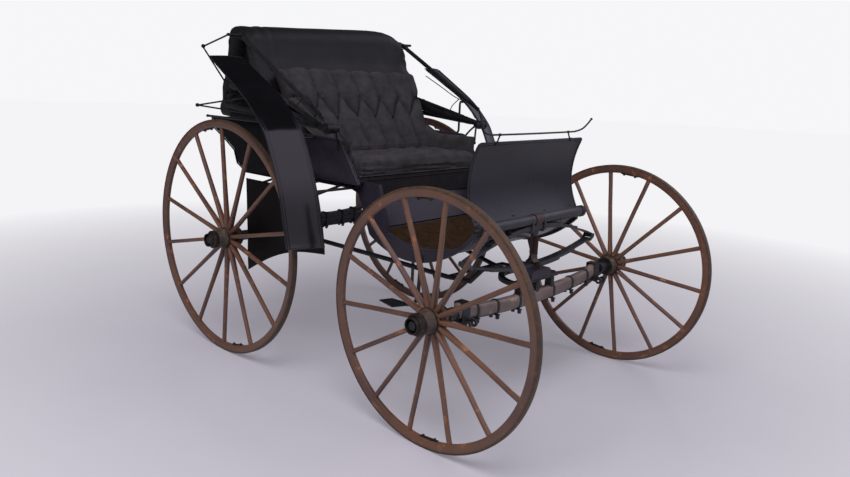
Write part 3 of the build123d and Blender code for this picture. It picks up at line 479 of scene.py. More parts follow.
def add_hex(bm, centre, radius, depth, axis="Z"):
    """A six-sided nut or bolt head."""
    nut = bmesh.new()
    bmesh.ops.create_cone(nut, cap_ends=True, segments=6, radius1=radius, radius2=radius, depth=depth)
    round_edges(nut, nut.edges[:], radius * 0.1, 1)
    turn = {"X": Matrix.Rotation(math.pi / 2, 4, "Y"), "Y": Matrix.Rotation(math.pi / 2, 4, "X"),
            "Z": Matrix()}[axis]
    merge(bm, nut, Matrix.Translation(centre) @ turn)


def smooth_line(points, count):
    """Points spaced along a smooth line through the given ones."""
    points = [Vector(p) for p in points]
    ends = [2 * points[0] - points[1], *points, 2 * points[-1] - points[-2]]
    line = []
    for step in range(count):
        share = step / (count - 1) * (len(points) - 1)
        i = min(int(share), len(points) - 2)
        t = share - i
        a, b, c, d = ends[i:i + 4]
        curve, twist = 2 * a - 5 * b + 4 * c - d, 3 * b - a - 3 * c + d
        line.append(0.5 * (2 * b + (c - a) * t + curve * t * t + twist * t**3))
    return line


def sheet(across, along, place):
    """A sheet of quads. Place gives the point for shares across and along it."""
    bm = bmesh.new()
    bmesh.ops.create_grid(bm, x_segments=across, y_segments=along, size=0.5)
    for corner in bm.verts:
        corner.co = place(corner.co.x + 0.5, corner.co.y + 0.5)
    return bm


def thicken(bm, thickness):
    """Gives a sheet its thickness, half to each side."""
    bmesh.ops.recalc_face_normals(bm, faces=bm.faces)
    for corner in bm.verts:
        corner.co += corner.normal * thickness / 2
    bm.normal_update()
    bmesh.ops.solidify(bm, geom=bm.faces[:], thickness=thickness)
    return bm


# ---------------------------------------------------------------- wheels

def add_wheel(name, radius, axle_y, side, turn):
    """Tyre, rim, fourteen spokes, hub and its irons. Turn is where the first spoke stands, in degrees."""
    place = Matrix.Translation((side * HALF_TRACK, axle_y, radius))
    if side < 0:
        place = place @ Matrix.Rotation(math.pi, 4, "Z")
    body = f"{name}_wheel"

    tread, back = radius, radius - 0.008
    tyre = turned([(-0.014, back), (-0.014, tread - 0.003), (-0.0125, tread - 0.0008), (-0.010, tread),
                   (0.010, tread), (0.0125, tread - 0.0008), (0.014, tread - 0.003), (0.014, back)], 160)
    tyre.transform(place)
    finish(tyre, f"{name}_hoop_tyre", HOOP_IRON, body, [f"{name}_tyre"])

    inner = radius - 0.040
    rim = turned([(-0.013, back - 0.0002), (-0.013, inner + 0.013), (-0.0115, inner + 0.006),
                  (-0.008, inner + 0.0015), (-0.003, inner), (0.003, inner), (0.008, inner + 0.0015),
                  (0.0115, inner + 0.006), (0.013, inner + 0.013), (0.013, back - 0.0002)], 160)
    rim.transform(place)
    finish(rim, f"{name}_bent_rim", VARNISHED_HICKORY, body, [f"{name}_felloe"])

    shell = turned([(-0.086, 0.0222), (-0.086, 0.039), (-0.080, 0.0415), (-0.066, 0.0440), (-0.055, 0.0475),
                    (-0.048, 0.0505), (-0.004, 0.0510), (0.004, 0.0490), (0.014, 0.0462), (0.030, 0.0438),
                    (0.046, 0.0412), (0.058, 0.039), (0.060, 0.037), (0.060, 0.0222)], 56)
    shell.transform(place)
    finish(shell, f"{name}_hub_shell", HUB_WOOD, body, [f"{name}_spokes"], crease=50)
    wood = bmesh.new()
    step = math.tau / 14
    for index in range(14):
        spoke = drawn([(0.046, -0.0256, 0.034, 0.0225), (0.078, -0.0242, 0.0335, 0.0225),
                       (0.12, -0.022, 0.030, 0.0205), (0.19, -0.0185, 0.0265, 0.0195),
                       (0.30, -0.0125, 0.0235, 0.0195), (inner - 0.05, -0.0022, 0.0215, 0.020),
                       (inner - 0.012, -0.0005, 0.0215, 0.0208), (inner + 0.003, 0, 0.0205, 0.0212)])
        merge(wood, spoke, Matrix.Rotation(math.radians(turn) + step * index, 4, "X"))
    wood.transform(place)
    finish(wood, f"{name}_spoke_set", VARNISHED_HICKORY, body, [f"{name}_spokes"], crease=50)

    irons = turned([(-0.090, 0.01705), (0.066, 0.01705), (0.066, 0.028), (0.087, 0.028), (0.089, 0.0295),
                    (0.089, 0.0315), (0.087, 0.0328), (0.070, 0.0328), (0.066, 0.036), (0.064, 0.0425),
                    (0.0625, 0.0438), (0.046, 0.0438), (0.0445, 0.043), (0.0445, 0.0402), (0.060, 0.0402),
                    (0.060, 0.0221), (-0.086, 0.0221), (-0.086, 0.0445), (-0.0885, 0.0445), (-0.090, 0.043)],
                    56)
    for x in (-0.0025, -0.0475):
        flange = turned([(x - 0.0015, 0.048), (x + 0.0015, 0.048), (x + 0.0015, 0.0532),
                         (x - 0.0015, 0.0532)], 56)
        merge(irons, flange)
    ring = turned([(0.0655, 0.0355), (0.0690, 0.0335), (0.0705, 0.0352), (0.0690, 0.0378), (0.0660, 0.0388)],
                  56)
    ring.transform(place)
    finish(ring, f"{name}_hub_brass", BRASS, body, [f"{name}_irons"])
    for half in (0, 1):
        seat = Matrix.Rotation(math.radians(turn) + step / 2 + half * math.pi, 4, "X")
        clip = bmesh.new()
        add_block(clip, (-0.006, -0.045, inner - 0.0058), (0.006, 0.045, inner + 0.0005), 0.0015)
        for y in (-0.030, 0.030):
            add_hex(clip, (0, y, inner - 0.008), 0.006, 0.006)
        merge(irons, clip, seat)
    irons.transform(place)
    finish(irons, f"{name}_hub_irons", HUB_IRON, body, [f"{name}_irons"])


# ---------------------------------------------------------------- cushions

def crease_distance(x, t, creases):
    """How far a flat point is from the nearest crease."""
    nearest = 1.0
    for ax, at, bx, bt in creases:
        dx, dt = bx - ax, bt - at
        share = max(0.0, min(1.0, ((x - ax) * dx + (t - at) * dt) / (dx * dx + dt * dt)))
        nearest = min(nearest, math.hypot(x - ax - share * dx, t - at - share * dt))
    return nearest


def drawn_in(x, t, creases, buttons, reach, seed):
    """How far a tufted cloth is drawn in, from 0 on a puff to 1 in a crease and more at a button."""
    wander = noise.noise_vector(Vector((x * 14, t * 14, seed))) * 0.005
    gap = crease_distance(x + wander.x, t + wander.y, creases)
    share = min(gap / reach, 1.0)
    pull = 1 - math.sqrt(1 - (1 - share) ** 2)
    for bx, bt in buttons:
        away = math.hypot(x - bx, t - bt)
        if away < 0.06:
            fold = math.sin(9 * math.atan2(t - bt, x - bx) + 40 * bx)
            pull += 0.45 * math.exp(-(away / 0.013) ** 2) + 0.07 * fold * math.exp(-away / 0.022)
    return pull


def add_cushion_rim(bm, drops):
    """Draws a cushion face's edge back through steps of (move, share of its size)."""
    edges = [edge for edge in bm.edges if edge.is_boundary]
    for move, out in drops:
        ring, edges = pull_out(bm, edges)
        centre = sum((corner.co for corner in ring), Vector()) / len(ring)
        for corner in ring:
            corner.co += move + (corner.co - centre) * out
    close_ends(bm)


def add_back_cushion():
    """The seat's leaning back: two rows of buttons with pleats above and below and diagonals between."""
    half, length = 0.433, math.hypot(BACK_RISE, BACK_LEAN)
    rising = Vector((0, BACK_LEAN, BACK_RISE)) / length
    facing = Vector((0, -BACK_RISE, BACK_LEAN)) / length
    upper, lower, round_off, corner_round = 0.300, 0.180, 0.040, 0.034
    top_row = [(k * TUFT_PITCH + 0.005 * math.sin(7 * k), upper + 0.007 * math.sin(5 * k))
               for k in range(-3, 4)]
    low_row = [((k + 0.5) * TUFT_PITCH + 0.006 * math.sin(5 * k), lower + 0.008 * math.sin(4 * k))
               for k in range(-3, 3)]
    creases = [(x, t, x - 0.022 - 0.012 * math.sin(3 * x), length + 0.02) for x, t in top_row]
    creases += [(x, t, x + 0.02 + 0.01 * math.sin(9 * x), -0.02) for x, t in low_row]
    creases += [(x, t, bx, bt) for x, t in top_row for bx, bt in low_row if abs(x - bx) < 0.6 * TUFT_PITCH]
    creases += [(side * 0.39, upper, side * 0.45, upper + 0.012) for side in (-1, 1)]

    def place(across, along):
        x, t = (2 * across - 1) * half, along * length
        qx, qt = abs(x) - (half - corner_round), t - (length - corner_round)
        inward = min(half - abs(x), length - t)
        if qx > 0 and qt > 0:
            away = math.hypot(qx, qt)
            inward = max(corner_round - away, 0.0)
            if away > corner_round:
                x = math.copysign(half - corner_round + qx * corner_round / away, x)
                t = length - corner_round + qt * corner_round / away
        pull = drawn_in(x, t, creases, top_row + low_row, 0.056, 3.0)
        fade = 1 - 0.35 * abs(2 * along - 1)
        low_edge = max(0.0, 1 - t / 0.02)
        turn = max(0.0, round_off - inward)
        drop = round_off - math.sqrt(round_off**2 - turn**2)
        wave = 0.0016 * wobble(x * 40, t * 26, 1.0) + 0.004 * wobble(x * 9, t * 11, 5.0)
        scallop = 0.012 * pull * max(0.0, 1 - inward / 0.05)
        flare = 1 + 0.068 * max(0.0, min(1.0, (t - 0.10) / 0.22))
        spot = Vector((x * flare, *BACK_FOOT)) + rising * (t - scallop)
        return spot + facing * (0.016 - drop - 0.042 * fade * pull - 0.008 * low_edge + wave)

    bm = sheet(220, 118, place)
    add_cushion_rim(bm, [(-facing * 0.012, 0.004), (-facing * 0.014, 0.0), (-facing * 0.016, -0.012)])
    for x, t in top_row + low_row:
        add_knob(bm, Vector((x * (1 + 0.068 * min(1.0, (t - 0.10) / 0.22)), *BACK_FOOT)) + rising * t
                 - facing * 0.024, 0.0085)
    piece = finish(bm, "buttoned_seat_back", BROADCLOTH, "carriage", ["back_cushion"],
                   crease=60)


def add_seat_cushion():
    """The loose seat cushion: a lightly tufted top over a deep boxed front."""
    half, front, back = 0.415, -0.0286, 0.2988
    deep, top = back - front, BACK_FOOT[1]
    front_row = [((k + 0.5) * TUFT_PITCH, 0.105) for k in range(-3, 3)]
    back_row = [(k * TUFT_PITCH, 0.205) for k in range(-3, 4)]
    creases = [(x, t, bx, bt) for x, t in back_row for bx, bt in front_row if abs(x - bx) < 0.6 * TUFT_PITCH]
    creases += [(x, t, x + 0.01 * math.sin(7 * x), 0.015) for x, t in front_row]
    creases += [(x, t, x, deep + 0.02) for x, t in back_row]
    round_off = 0.034

    def place(across, along):
        x, t = (2 * across - 1) * half, along * deep
        inward = min(half - abs(x), t, deep - t)
        turn = max(0.0, round_off - inward)
        drop = round_off - math.sqrt(round_off**2 - turn**2)
        pull = drawn_in(x, t, creases, front_row + back_row, 0.055, 8.0)
        crown = 0.010 * math.sin(math.pi * across) * math.sin(math.pi * along)
        sag = 0.006 * wobble(x * 5, t * 7, 2.0)
        slanted = x * 0.5 + t
        ridge = 1 - 2 * abs(wobble(x * 4, slanted * 22, 5.0))
        pulled = 0.0110 * ridge - 0.006 + 0.0024 * wobble(x * 10, t * 60, 9.0)
        fade = min(1.0, t / 0.09)
        return Vector((x, front + t, top - drop - 0.012 * fade * pull + crown + sag * fade + pulled))

    bm = sheet(200, 84, place)
    add_cushion_rim(bm, [(Vector((0, -0.0022, -0.005)), 0.003), (Vector((0, -0.0008, -0.006)), 0.001),
                         (Vector((0, 0.0008, -0.006)), 0.001), (Vector((0, 0.0022, -0.005)), -0.002),
                         (Vector((0, -0.0022, -0.005)), 0.002), (Vector((0, -0.0008, -0.006)), 0.001),
                         (Vector((0, 0.0014, -0.006)), -0.001), (Vector((0, 0.0030, -0.006)), -0.003),
                         (Vector((0, 0.0030, -0.004)), -0.004)])
    for corner in bm.verts:
        if corner.co.y < front + 0.01:
            fold = wobble(corner.co.x * 3, (corner.co.z + 0.06 * corner.co.x) * 60, 7.0)
            corner.co.y += 0.0060 * fold - 0.002
    edge_y, low_z = front - 0.003, SEAT_TOP_Z + 0.006
    welt = [(-half - 0.001, back - 0.01, low_z), (-half - 0.001, front + 0.02, low_z),
            (-half + 0.018, edge_y, low_z), (0, edge_y - 0.001, low_z), (half - 0.018, edge_y, low_z),
            (half + 0.001, front + 0.02, low_z), (half + 0.001, back - 0.01, low_z)]
    add_rod(bm, smooth_line(welt, 60), 0.0042)
    piece = finish(bm, "boxed_seat_cushion", BROADCLOTH, "carriage", ["seat_cushion"],
                   crease=60)


def add_seat_fall():
    """The cloth band that hangs below the cushion across the front of the seat."""
    half, top, drop = 0.374, SEAT_TOP_Z, 0.100

    def place(across, along):
        x, z = (2 * across - 1) * half, top - drop * (1 - along)
        wave = 0.0022 * wobble(x * 11, z * 3, 4.0) * (1.6 - along)
        return Vector((x, -0.0387 + wave, z))

    bm = thicken(sheet(150, 22, place), 0.003)
    for z in (top - drop + 0.003, top - 0.012):
        add_rod(bm, [(half * k / 12, -0.0405, z + 0.0008 * math.sin(3 * k)) for k in range(-12, 13)], 0.0022)
    # The fall's darker cloth is painted shade below the cushion.
    piece = finish(bm, "seat_fall_cloth", SHADED_FALL_CLOTH, "carriage", ["seat_fall"])


def add_floor_mat():
    """The mat that lies along the dipped floor."""
    line = smooth_line([(0, -0.6843, 0.7703), (0, -0.5808, 0.687), (0, -0.4408, 0.627), (0, -0.3434, 0.613),
                        (0, -0.0756, 0.690)], 100)
    line = [point for point in line if -0.625 < point.y < -0.106]
    half, length = 0.366, sum((b - a).length for a, b in zip(line, line[1:]))

    def place(across, along):
        x = (2 * across - 1) * half
        spot = line[round(along * (len(line) - 1))]
        return Vector((x, spot.y, spot.z + 0.0300 + 0.0006 * wobble(x * 20, spot.y * 20, 0)))

    bm = thicken(sheet(40, len(line) - 1, place), 0.0045)
    piece = finish(bm, "laid_floor_mat", CORD_MAT, "carriage", ["floor_mat"])


# ---------------------------------------------------------------- leather

def dash_belly(share):
    """How far the dash bellies to the rear, a share of the way up it."""
    if share > BELLY_SHARE:
        return DASH_BELLY * (1 - ((share - BELLY_SHARE) / (1 - BELLY_SHARE)) ** 2)
    return DASH_BELLY * (1 - ((BELLY_SHARE - share) / BELLY_SHARE) ** 2)


def add_dash():
    """The dash: leather on an iron frame, bellied to the rear, with welted edges and an inner stitched line."""
    half, rise, thick, corner = 0.392, DASH_RISE, 0.006, 0.016

    def spot(x, share, out=0.0):
        return Vector((x, DASH_Y + thick / 2 + dash_belly(share) + out, DASH_FOOT_Z + share * rise))

    def place(across, along):
        x, t = (2 * across - 1) * half, along * rise
        qx, qt = abs(x) - (half - corner), t - (rise - corner)
        if qx > 0 and qt > 0 and math.hypot(qx, qt) > corner:
            away = math.hypot(qx, qt)
            x = math.copysign(half - corner + qx * corner / away, x)
            t = rise - corner + qt * corner / away
        cockle = 0.0016 * wobble(x * 5, t * 6, 1.0)
        return spot(x, t / rise, cockle)

    bm = thicken(sheet(120, 60, place), 0.0052)
    side_line = [spot(-half + 0.0015, k / 16) for k in range(16)]
    top_line = [spot(-half + 0.006, 0.985), spot(-half + 0.018, 0.997), spot(half - 0.018, 0.997),
                spot(half - 0.006, 0.985)]
    other = [Vector((-p.x, p.y, p.z)) for p in reversed(side_line)]
    add_rod(bm, side_line + top_line + other, 0.0034)
    inset = 0.010
    rows = [spot(-half + inset, 0.02 + 0.93 * k / 20, -0.0034) for k in range(21)]
    stitched = [spot((half - inset) * (k / 10 - 1), 0.965, -0.0034) for k in range(1, 20)]
    back_down = [Vector((-p.x, p.y, p.z)) for p in reversed(rows)]
    add_rod(bm, rows + stitched + back_down, 0.0009, around=2)
    piece = finish(bm, "welted_dash", PATENT_LEATHER, "carriage", ["dash"])


def wing_slant(share):
    """How far the wing's outer edge stands behind its inner edge, a share of the way up it."""
    return WING_SLANT * (1 - 0.5 * max(0.0, (share - 0.75) / 0.25))


def add_wing(side, label):
    """A rear wing: leather on an iron frame that follows the wheel, with a pair of beads along each edge."""
    line = smooth_line([(0, REAR_AXLE_Y + y, REAR_RADIUS + z) for y, z in WING_LINE], 90)
    inner, outer = WING_INNER, WING_OUTER
    out = [Vector((0, b.z - a.z, a.y - b.y)).normalized() for a, b in zip(line, line[1:])]
    out.append(out[-1])

    def place(across, along):
        at = min(round(along * 89), 89)
        crown = 0.004 * math.sin(math.pi * across)
        dent = 0.0008 * wobble(across * 3, along * 9, side)
        x = side * (inner + across * (outer - inner))
        return line[at] + Vector((x, wing_slant(along) * (across - 0.5), 0)) - out[at] * (crown + dent)

    bm = thicken(sheet(26, 89, place), 0.0042)
    for across in (0.008, 0.075, 0.925, 0.992):
        for face in (-1, 1):
            run = [place(across, k / 89) + out[k] * 0.0022 * face for k in range(0, 90, 2)]
            add_rod(bm, run, 0.0022 if across in (0.075, 0.925) else 0.0030, around=3)
    for along in (0.0, 1.0):
        add_rod(bm, [place(k / 12, along) for k in range(13)], 0.0030, around=3)
    piece = finish(bm, f"{label}_wing", BRIGHT_PATENT, "carriage", [f"fender_{label}"])


def add_curtains():
    """A leather splash panel hung inside each rear wheel, riveted along its top."""
    top, rear, low = 0.8813, 0.6204, 0.4122
    for side in (-1, 1):
        def place(across, along, lift=0.0):
            floor_z = 0.6062 + (low - 0.6062) * across + 0.075 * math.sin(math.pi * across) * 0.6
            y_low, y_top = 0.0124 + across * (rear - 0.0204), 0.0644 + across * (rear - 0.0644)
            z = floor_z + (top - floor_z) * along
            y = y_low + (y_top - y_low) * along**1.6
            bulge = 0.004 * wobble(y * 6, z * 7, side) * (1 - along)
            return Vector((side * (0.5935 + bulge + lift), y, z))

        bm = thicken(sheet(60, 44, place), 0.0034)
        for k in range(12):
            add_knob(bm, place(0.03 + 0.94 * k / 11, 0.975, 0.003), 0.0042, 0.003)
        for k in range(1, 8):
            add_knob(bm, place(0.975, 0.98 - k / 8, 0.003), 0.0036, 0.003)
        edge = [place(0.004, k / 14) for k in range(15)]
        add_rod(bm, edge, 0.0026)
        add_rod(bm, [place(k / 30, 0.004) for k in range(31)], 0.0026)
        label = "right" if side < 0 else "left"
        piece = finish(bm, f"{label}_hung_curtain", SHADE_DARKENED_LEATHER, "carriage",
                       ["side_curtains"])


BOOT_LINE = [(0.5544, 0.8853), (0.7914, 0.8853), (0.8744, 0.9243), (0.9014, 0.9903), (1.0054, 1.0513),
             (1.1034, 1.0973), (1.1144, 1.1503), (0.5544, 1.1503)]


def add_boot():
    """The leather boot behind the seat, slung over its frame with piped edges."""
    half = 0.480
    bm = plate([(-half, y, z) for y, z in BOOT_LINE], (2 * half, 0, 0))
    round_edges(bm, bm.edges[:], 0.009, 3)
    cuts = [((half * (k / 14 - 1), 0, 0), (1, 0, 0)) for k in range(1, 28)]
    cuts += [((0, 0.58 + 0.026 * k, 0), (0, 1, 0)) for k in range(20)]
    cuts += [((0, 0, 0.90 + 0.024 * k), (0, 0, 1)) for k in range(10)]
    for spot, across in cuts:
        bmesh.ops.bisect_plane(bm, geom=bm.verts[:] + bm.edges[:] + bm.faces[:], plane_co=spot,
                               plane_no=across)
    for corner in bm.verts:
        x, y, z = corner.co
        inner = max(0.0, 1 - abs(x) / half) ** 0.5
        corner.co.z += 0.006 * wobble(x * 8, y * 8, z * 6) * inner * (1 if z < 1.14 else 0.4)
        corner.co.y += 0.005 * wobble(x * 9, y * 5, z * 8 + 3) * inner * (1 if y > 0.8 else 0)
    for x in (-half, half):
        edge = [Vector((x, y, z)) for y, z in BOOT_LINE]
        add_rod(bm, edge, 0.0038)
    add_rod(bm, [Vector((half * k / 10, 1.1134, 1.149)) for k in range(-10, 11)], 0.0038)
    # The boot's leather carries painted shade in its darker colour.
    finish(bm, "piped_boot", SHADE_DARKENED_LEATHER, "carriage", ["boot"], crease=50)


HOOD_LINE = [(0.6102, 1.4243), (0.6350, 1.4700), (0.6520, 1.5350), (0.6640, 1.5850), (0.6900, 1.6170),
             (0.7300, 1.6330), (0.7700, 1.6375), (0.8050, 1.6320), (0.8240, 1.6060), (0.8470, 1.5540),
             (0.8700, 1.5000), (0.8970, 1.4350), (0.9250, 1.3720), (0.9440, 1.2950), (0.9580, 1.2300),
             (0.9650, 1.1750), (0.9350, 1.1560), (0.8000, 1.1540), (0.6600, 1.1540), (0.5980, 1.1620),
             (0.5640, 1.2250), (0.5450, 1.2850), (0.5700, 1.3500)]


def add_hood():
    """The folded top: smooth in front, and gathered in folds down the back and at its ends."""
    half = 0.545
    ring = smooth_line([(0, y, z) for y, z in HOOD_LINE + HOOD_LINE[:1]], 185)[:-1]
    count = len(ring)
    middle = Vector((0, 0.755, 1.40))
    out = []
    for k in range(count):
        ahead = ring[(k + 1) % count] - ring[k - 1]
        out.append(Vector((0, ahead.z, -ahead.y)).normalized())

    def rear_share(spot):
        """1 on the gathered back, 0 on the smooth front and top."""
        behind = (spot.y - 0.835) / 0.05
        return max(0.0, min(1.0, behind)) * max(0.0, min(1.0, (1.60 - spot.z) / 0.05))

    def place(across, along):
        side = 2 * across - 1
        k = round(along * count) % count
        spot = ring[k]
        gathered = rear_share(spot)
        end = max(0.0, (abs(side) - 0.90) / 0.10)
        soft = max(0.0, (abs(side) - 0.955) / 0.045)
        close = gathered * 0.45 * (1 - math.sqrt(max(0.0, 1 - end**2.4)))
        close += 0.07 * (1 - math.sqrt(max(0.0, 1 - soft**2)))
        x = side * half
        fold_z = spot.z + 0.020 * math.sin(3.1 * x + 0.6) + 0.010 * math.sin(9 * x)
        hang = 0.5 + 0.5 * math.sin(math.tau * (fold_z - 1.17) / 0.105)
        push = gathered * (0.016 * hang**0.6 - 0.014 + 0.006 * wobble(x * 7, spot.z * 22, 2.0))
        front = 0.0030 * wobble(x * 4, spot.z * 5, 4.0)
        hung = (1 - gathered) * max(0.0, (abs(side) - 0.55) / 0.45)
        front += 0.0060 * hung * wobble(side * 17, spot.z * 3.0, 6.0)
        rumple = end * 0.010 * wobble(side * 9, spot.y * 18, spot.z * 26)
        if out[k].dot(spot - middle) < 0:
            flat = spot + out[k] * (-push - front - rumple)
        else:
            flat = spot + out[k] * (push + front + rumple)
        shoulder = 0.048 if side > 0 else 0.004
        lift = 0.042 * min(1.0, across * 1.25) - 0.018 - shoulder * max(0.0, (abs(side) - 0.70) / 0.30) ** 2.2
        rise = max(0.0, min(1.0, (spot.z - 1.40) / 0.20)) * lift
        pinch = flat.lerp(Vector((0, middle.y + 0.25 * (flat.y - middle.y),
                                  middle.z + 0.55 * (flat.z - middle.z))), close)
        return Vector((x, pinch.y, pinch.z + rise))

    bm = sheet(150, count, place)
    bmesh.ops.remove_doubles(bm, verts=bm.verts, dist=0.00002)
    for side in (-1, 1):
        edges = [edge for edge in bm.edges if edge.is_boundary and edge.verts[0].co.x * side > 0]
        for move, size in ((0.006, 0.965), (0.002, 0.90), (-0.012, 0.86), (-0.060, 0.84)):
            lip, edges = pull_out(bm, edges)
            centre = sum((corner.co for corner in lip), Vector()) / len(lip)
            for corner in lip:
                corner.co = centre + (corner.co - centre) * size + Vector((side * move, 0, 0))
        bmesh.ops.holes_fill(bm, edges=edges, sides=0)
    piece = finish(bm, "folded_top", TOP_LEATHER, "carriage", ["hood_leather"], crease=55)


# ---------------------------------------------------------------- irons

def bent(points, reach):
    """A line with each corner rounded over a reach."""
    points = [Vector(p) for p in points]
    line = [points[0]]
    for before, corner, after in zip(points, points[1:], points[2:]):
        start = corner + (before - corner).normalized() * reach
        end = corner + (after - corner).normalized() * reach
        for k in range(7):
            t = k / 6
            line.append((1 - t) ** 2 * start + 2 * t * (1 - t) * corner + t * t * end)
    return line + [points[-1]]


def mirror(bm):
    """Adds the mirrored other side."""
    bmesh.ops.duplicate(bm, geom=bm.verts[:] + bm.edges[:] + bm.faces[:])
    half = len(bm.verts) // 2
    bm.verts.ensure_lookup_table()
    for corner in bm.verts[half:]:
        corner.co.x = -corner.co.x


def bow_point(angle, reach):
    turn = math.radians(angle)
    return PIVOT_Y + reach * math.cos(turn), PIVOT_Z + reach * math.sin(turn)


def first_bow_point(side, reach):
    """A point of the first bow, (y, z). Its legs are cranked above the stud, the left one more."""
    turn = math.radians(FIRST_BOW_ANGLE)
    return 0.0900 + reach * math.cos(turn), (1.222 if side < 0 else 1.247) + reach * math.sin(turn)


def add_bow_rolls():
    """The padded roll of quarter leather round the two lower bows, and the pleated leather between the bows on
    the near side.
    """
    bm = bmesh.new()
    for side in (-1, 1):
        spine = [(0.095, 1.176), (0.146, 1.180), (0.230, 1.192), (0.372, 1.213), (0.470, 1.236),
                 (0.560, 1.262), (0.640, 1.290)]
        radii = (0.013, 0.017, 0.019, 0.022, 0.024, 0.027, 0.022)
        spots = smooth_line([(0, y, z) for y, z in spine], 50)
        widths = smooth_line([(r, 0, 0) for r in radii], 50)
        places = []
        for k, (spot, width) in enumerate(zip(spots, widths)):
            ahead = (spots[min(k + 1, 49)] - spots[max(k - 1, 0)]).normalized()
            swell = width.x * (1 + 0.10 * wobble(side, k * 0.35, 0)) * (0.55 if k in (0, 49) else 1)
            turn = ahead.to_track_quat("Z", "X").to_matrix().to_4x4()
            places.append(Matrix.Translation((side * 0.552, spot.y, spot.z)) @ turn
                          @ Matrix.Diagonal((swell, swell * 0.62, 1, 1)))
        roll = swept(places)
        merge(bm, roll)
    finish(bm, "rolled_quarter_leather", TOP_LEATHER, "carriage", crease=55)
    side = -1

    def place(across, along):
        turn, reach = math.radians(3.0 + 18.0 * along), 0.050 + 0.440 * across
        pleat = 0.007 * math.sin(math.tau * 2.1 * along + 0.5) * min(1.0, reach / 0.2)
        return Vector((side * (0.546 + pleat), PIVOT_Y + reach * math.cos(turn),
                       PIVOT_Z + reach * math.sin(turn)))

    fan = thicken(sheet(50, 40, place), 0.003)
    piece = finish(fan, "pleated_quarter", SHADE_DARKENED_LEATHER, "carriage")


def add_seat_sides():
    """The panels at the seat's ends, a round rail along their edge, and the brackets of the bow studs."""
    outline = [(-0.0506, 0.9153), (0.5344, 0.9153), (0.5344, 1.1313), (0.3594, 1.1173), (0.115, 1.1113),
               (0.090, 1.106), (0.070, 1.092), (0.050, 1.066)]
    panels, irons = bmesh.new(), bmesh.new()
    for side in (-1, 1):
        panel = plate([(side * 0.4412, y, z) for y, z in outline], (side * 0.0128, 0, 0))
        round_edges(panel, panel.edges[:], 0.0025, 2)
        merge(panels, panel)
        rail = [(0.5300, 1.1320), (0.3594, 1.1185), (0.150, 1.1125), (0.100, 1.110), (0.070, 1.094),
                (0.048, 1.064), (0.000, 0.994), (-0.0500, 0.9190)]
        for x, radius in ((0.4540, 0.0048), (0.4430, 0.0036)):
            add_rod(panels, smooth_line([(side * x, y, z) for y, z in rail], 60), radius)
        x = side * 0.500
        add_rod(irons, [(side * 0.492, PIVOT_Y, PIVOT_Z), (side * (PIVOT_X - 0.005), PIVOT_Y, PIVOT_Z)],
                0.0085)
        add_knob(irons, (side * 0.506, PIVOT_Y, PIVOT_Z), 0.0170, 0.030)
        for y in (0.022, 0.092):
            add_rod(irons, smooth_line([(x, PIVOT_Y, PIVOT_Z),
                                        (side * 0.482, (PIVOT_Y + y) / 2 + 0.003, 1.138),
                                        (side * 0.458, y, 1.100), (side * 0.457, y, 1.070)], 16), 0.0052)
            add_knob(irons, (side * 0.4565, y, 1.072), 0.0090, 0.006)
    finish(panels, "seat_side_panels", BLACK_VARNISH, "carriage", ["seat_sides"])
    finish(irons, "bow_stud_brackets", BARE_BLACK_IRON, "carriage", ["seat_sides"])


def add_side_linings():
    """The padded cloth linings inside the seat's ends, thick in the corner beside the back."""
    bm = bmesh.new()
    for side in (-1, 1):
        def place(across, along):
            y = 0.010 + 0.360 * across
            thick = 0.010 + 0.052 * across**1.6
            t = along * 2 - 1
            top = 1.106 + 0.050 * max(0.0, across - 0.72) / 0.28
            z = 0.985 + (top - 0.985) * (0.5 + 0.5 * math.sin(math.pi / 2 * t))
            bulge = math.cos(math.pi / 2 * t) ** 0.6 * min(1.0, across / 0.08)
            wave = 0.003 * wobble(y * 16, z * 12, side)
            return Vector((side * (0.4402 - thick * bulge - wave * bulge), y, z))

        lining = sheet(40, 24, place)
        merge(bm, lining)
    close_ends(bm)
    piece = finish(bm, "side_linings", BROADCLOTH, "carriage", crease=60)


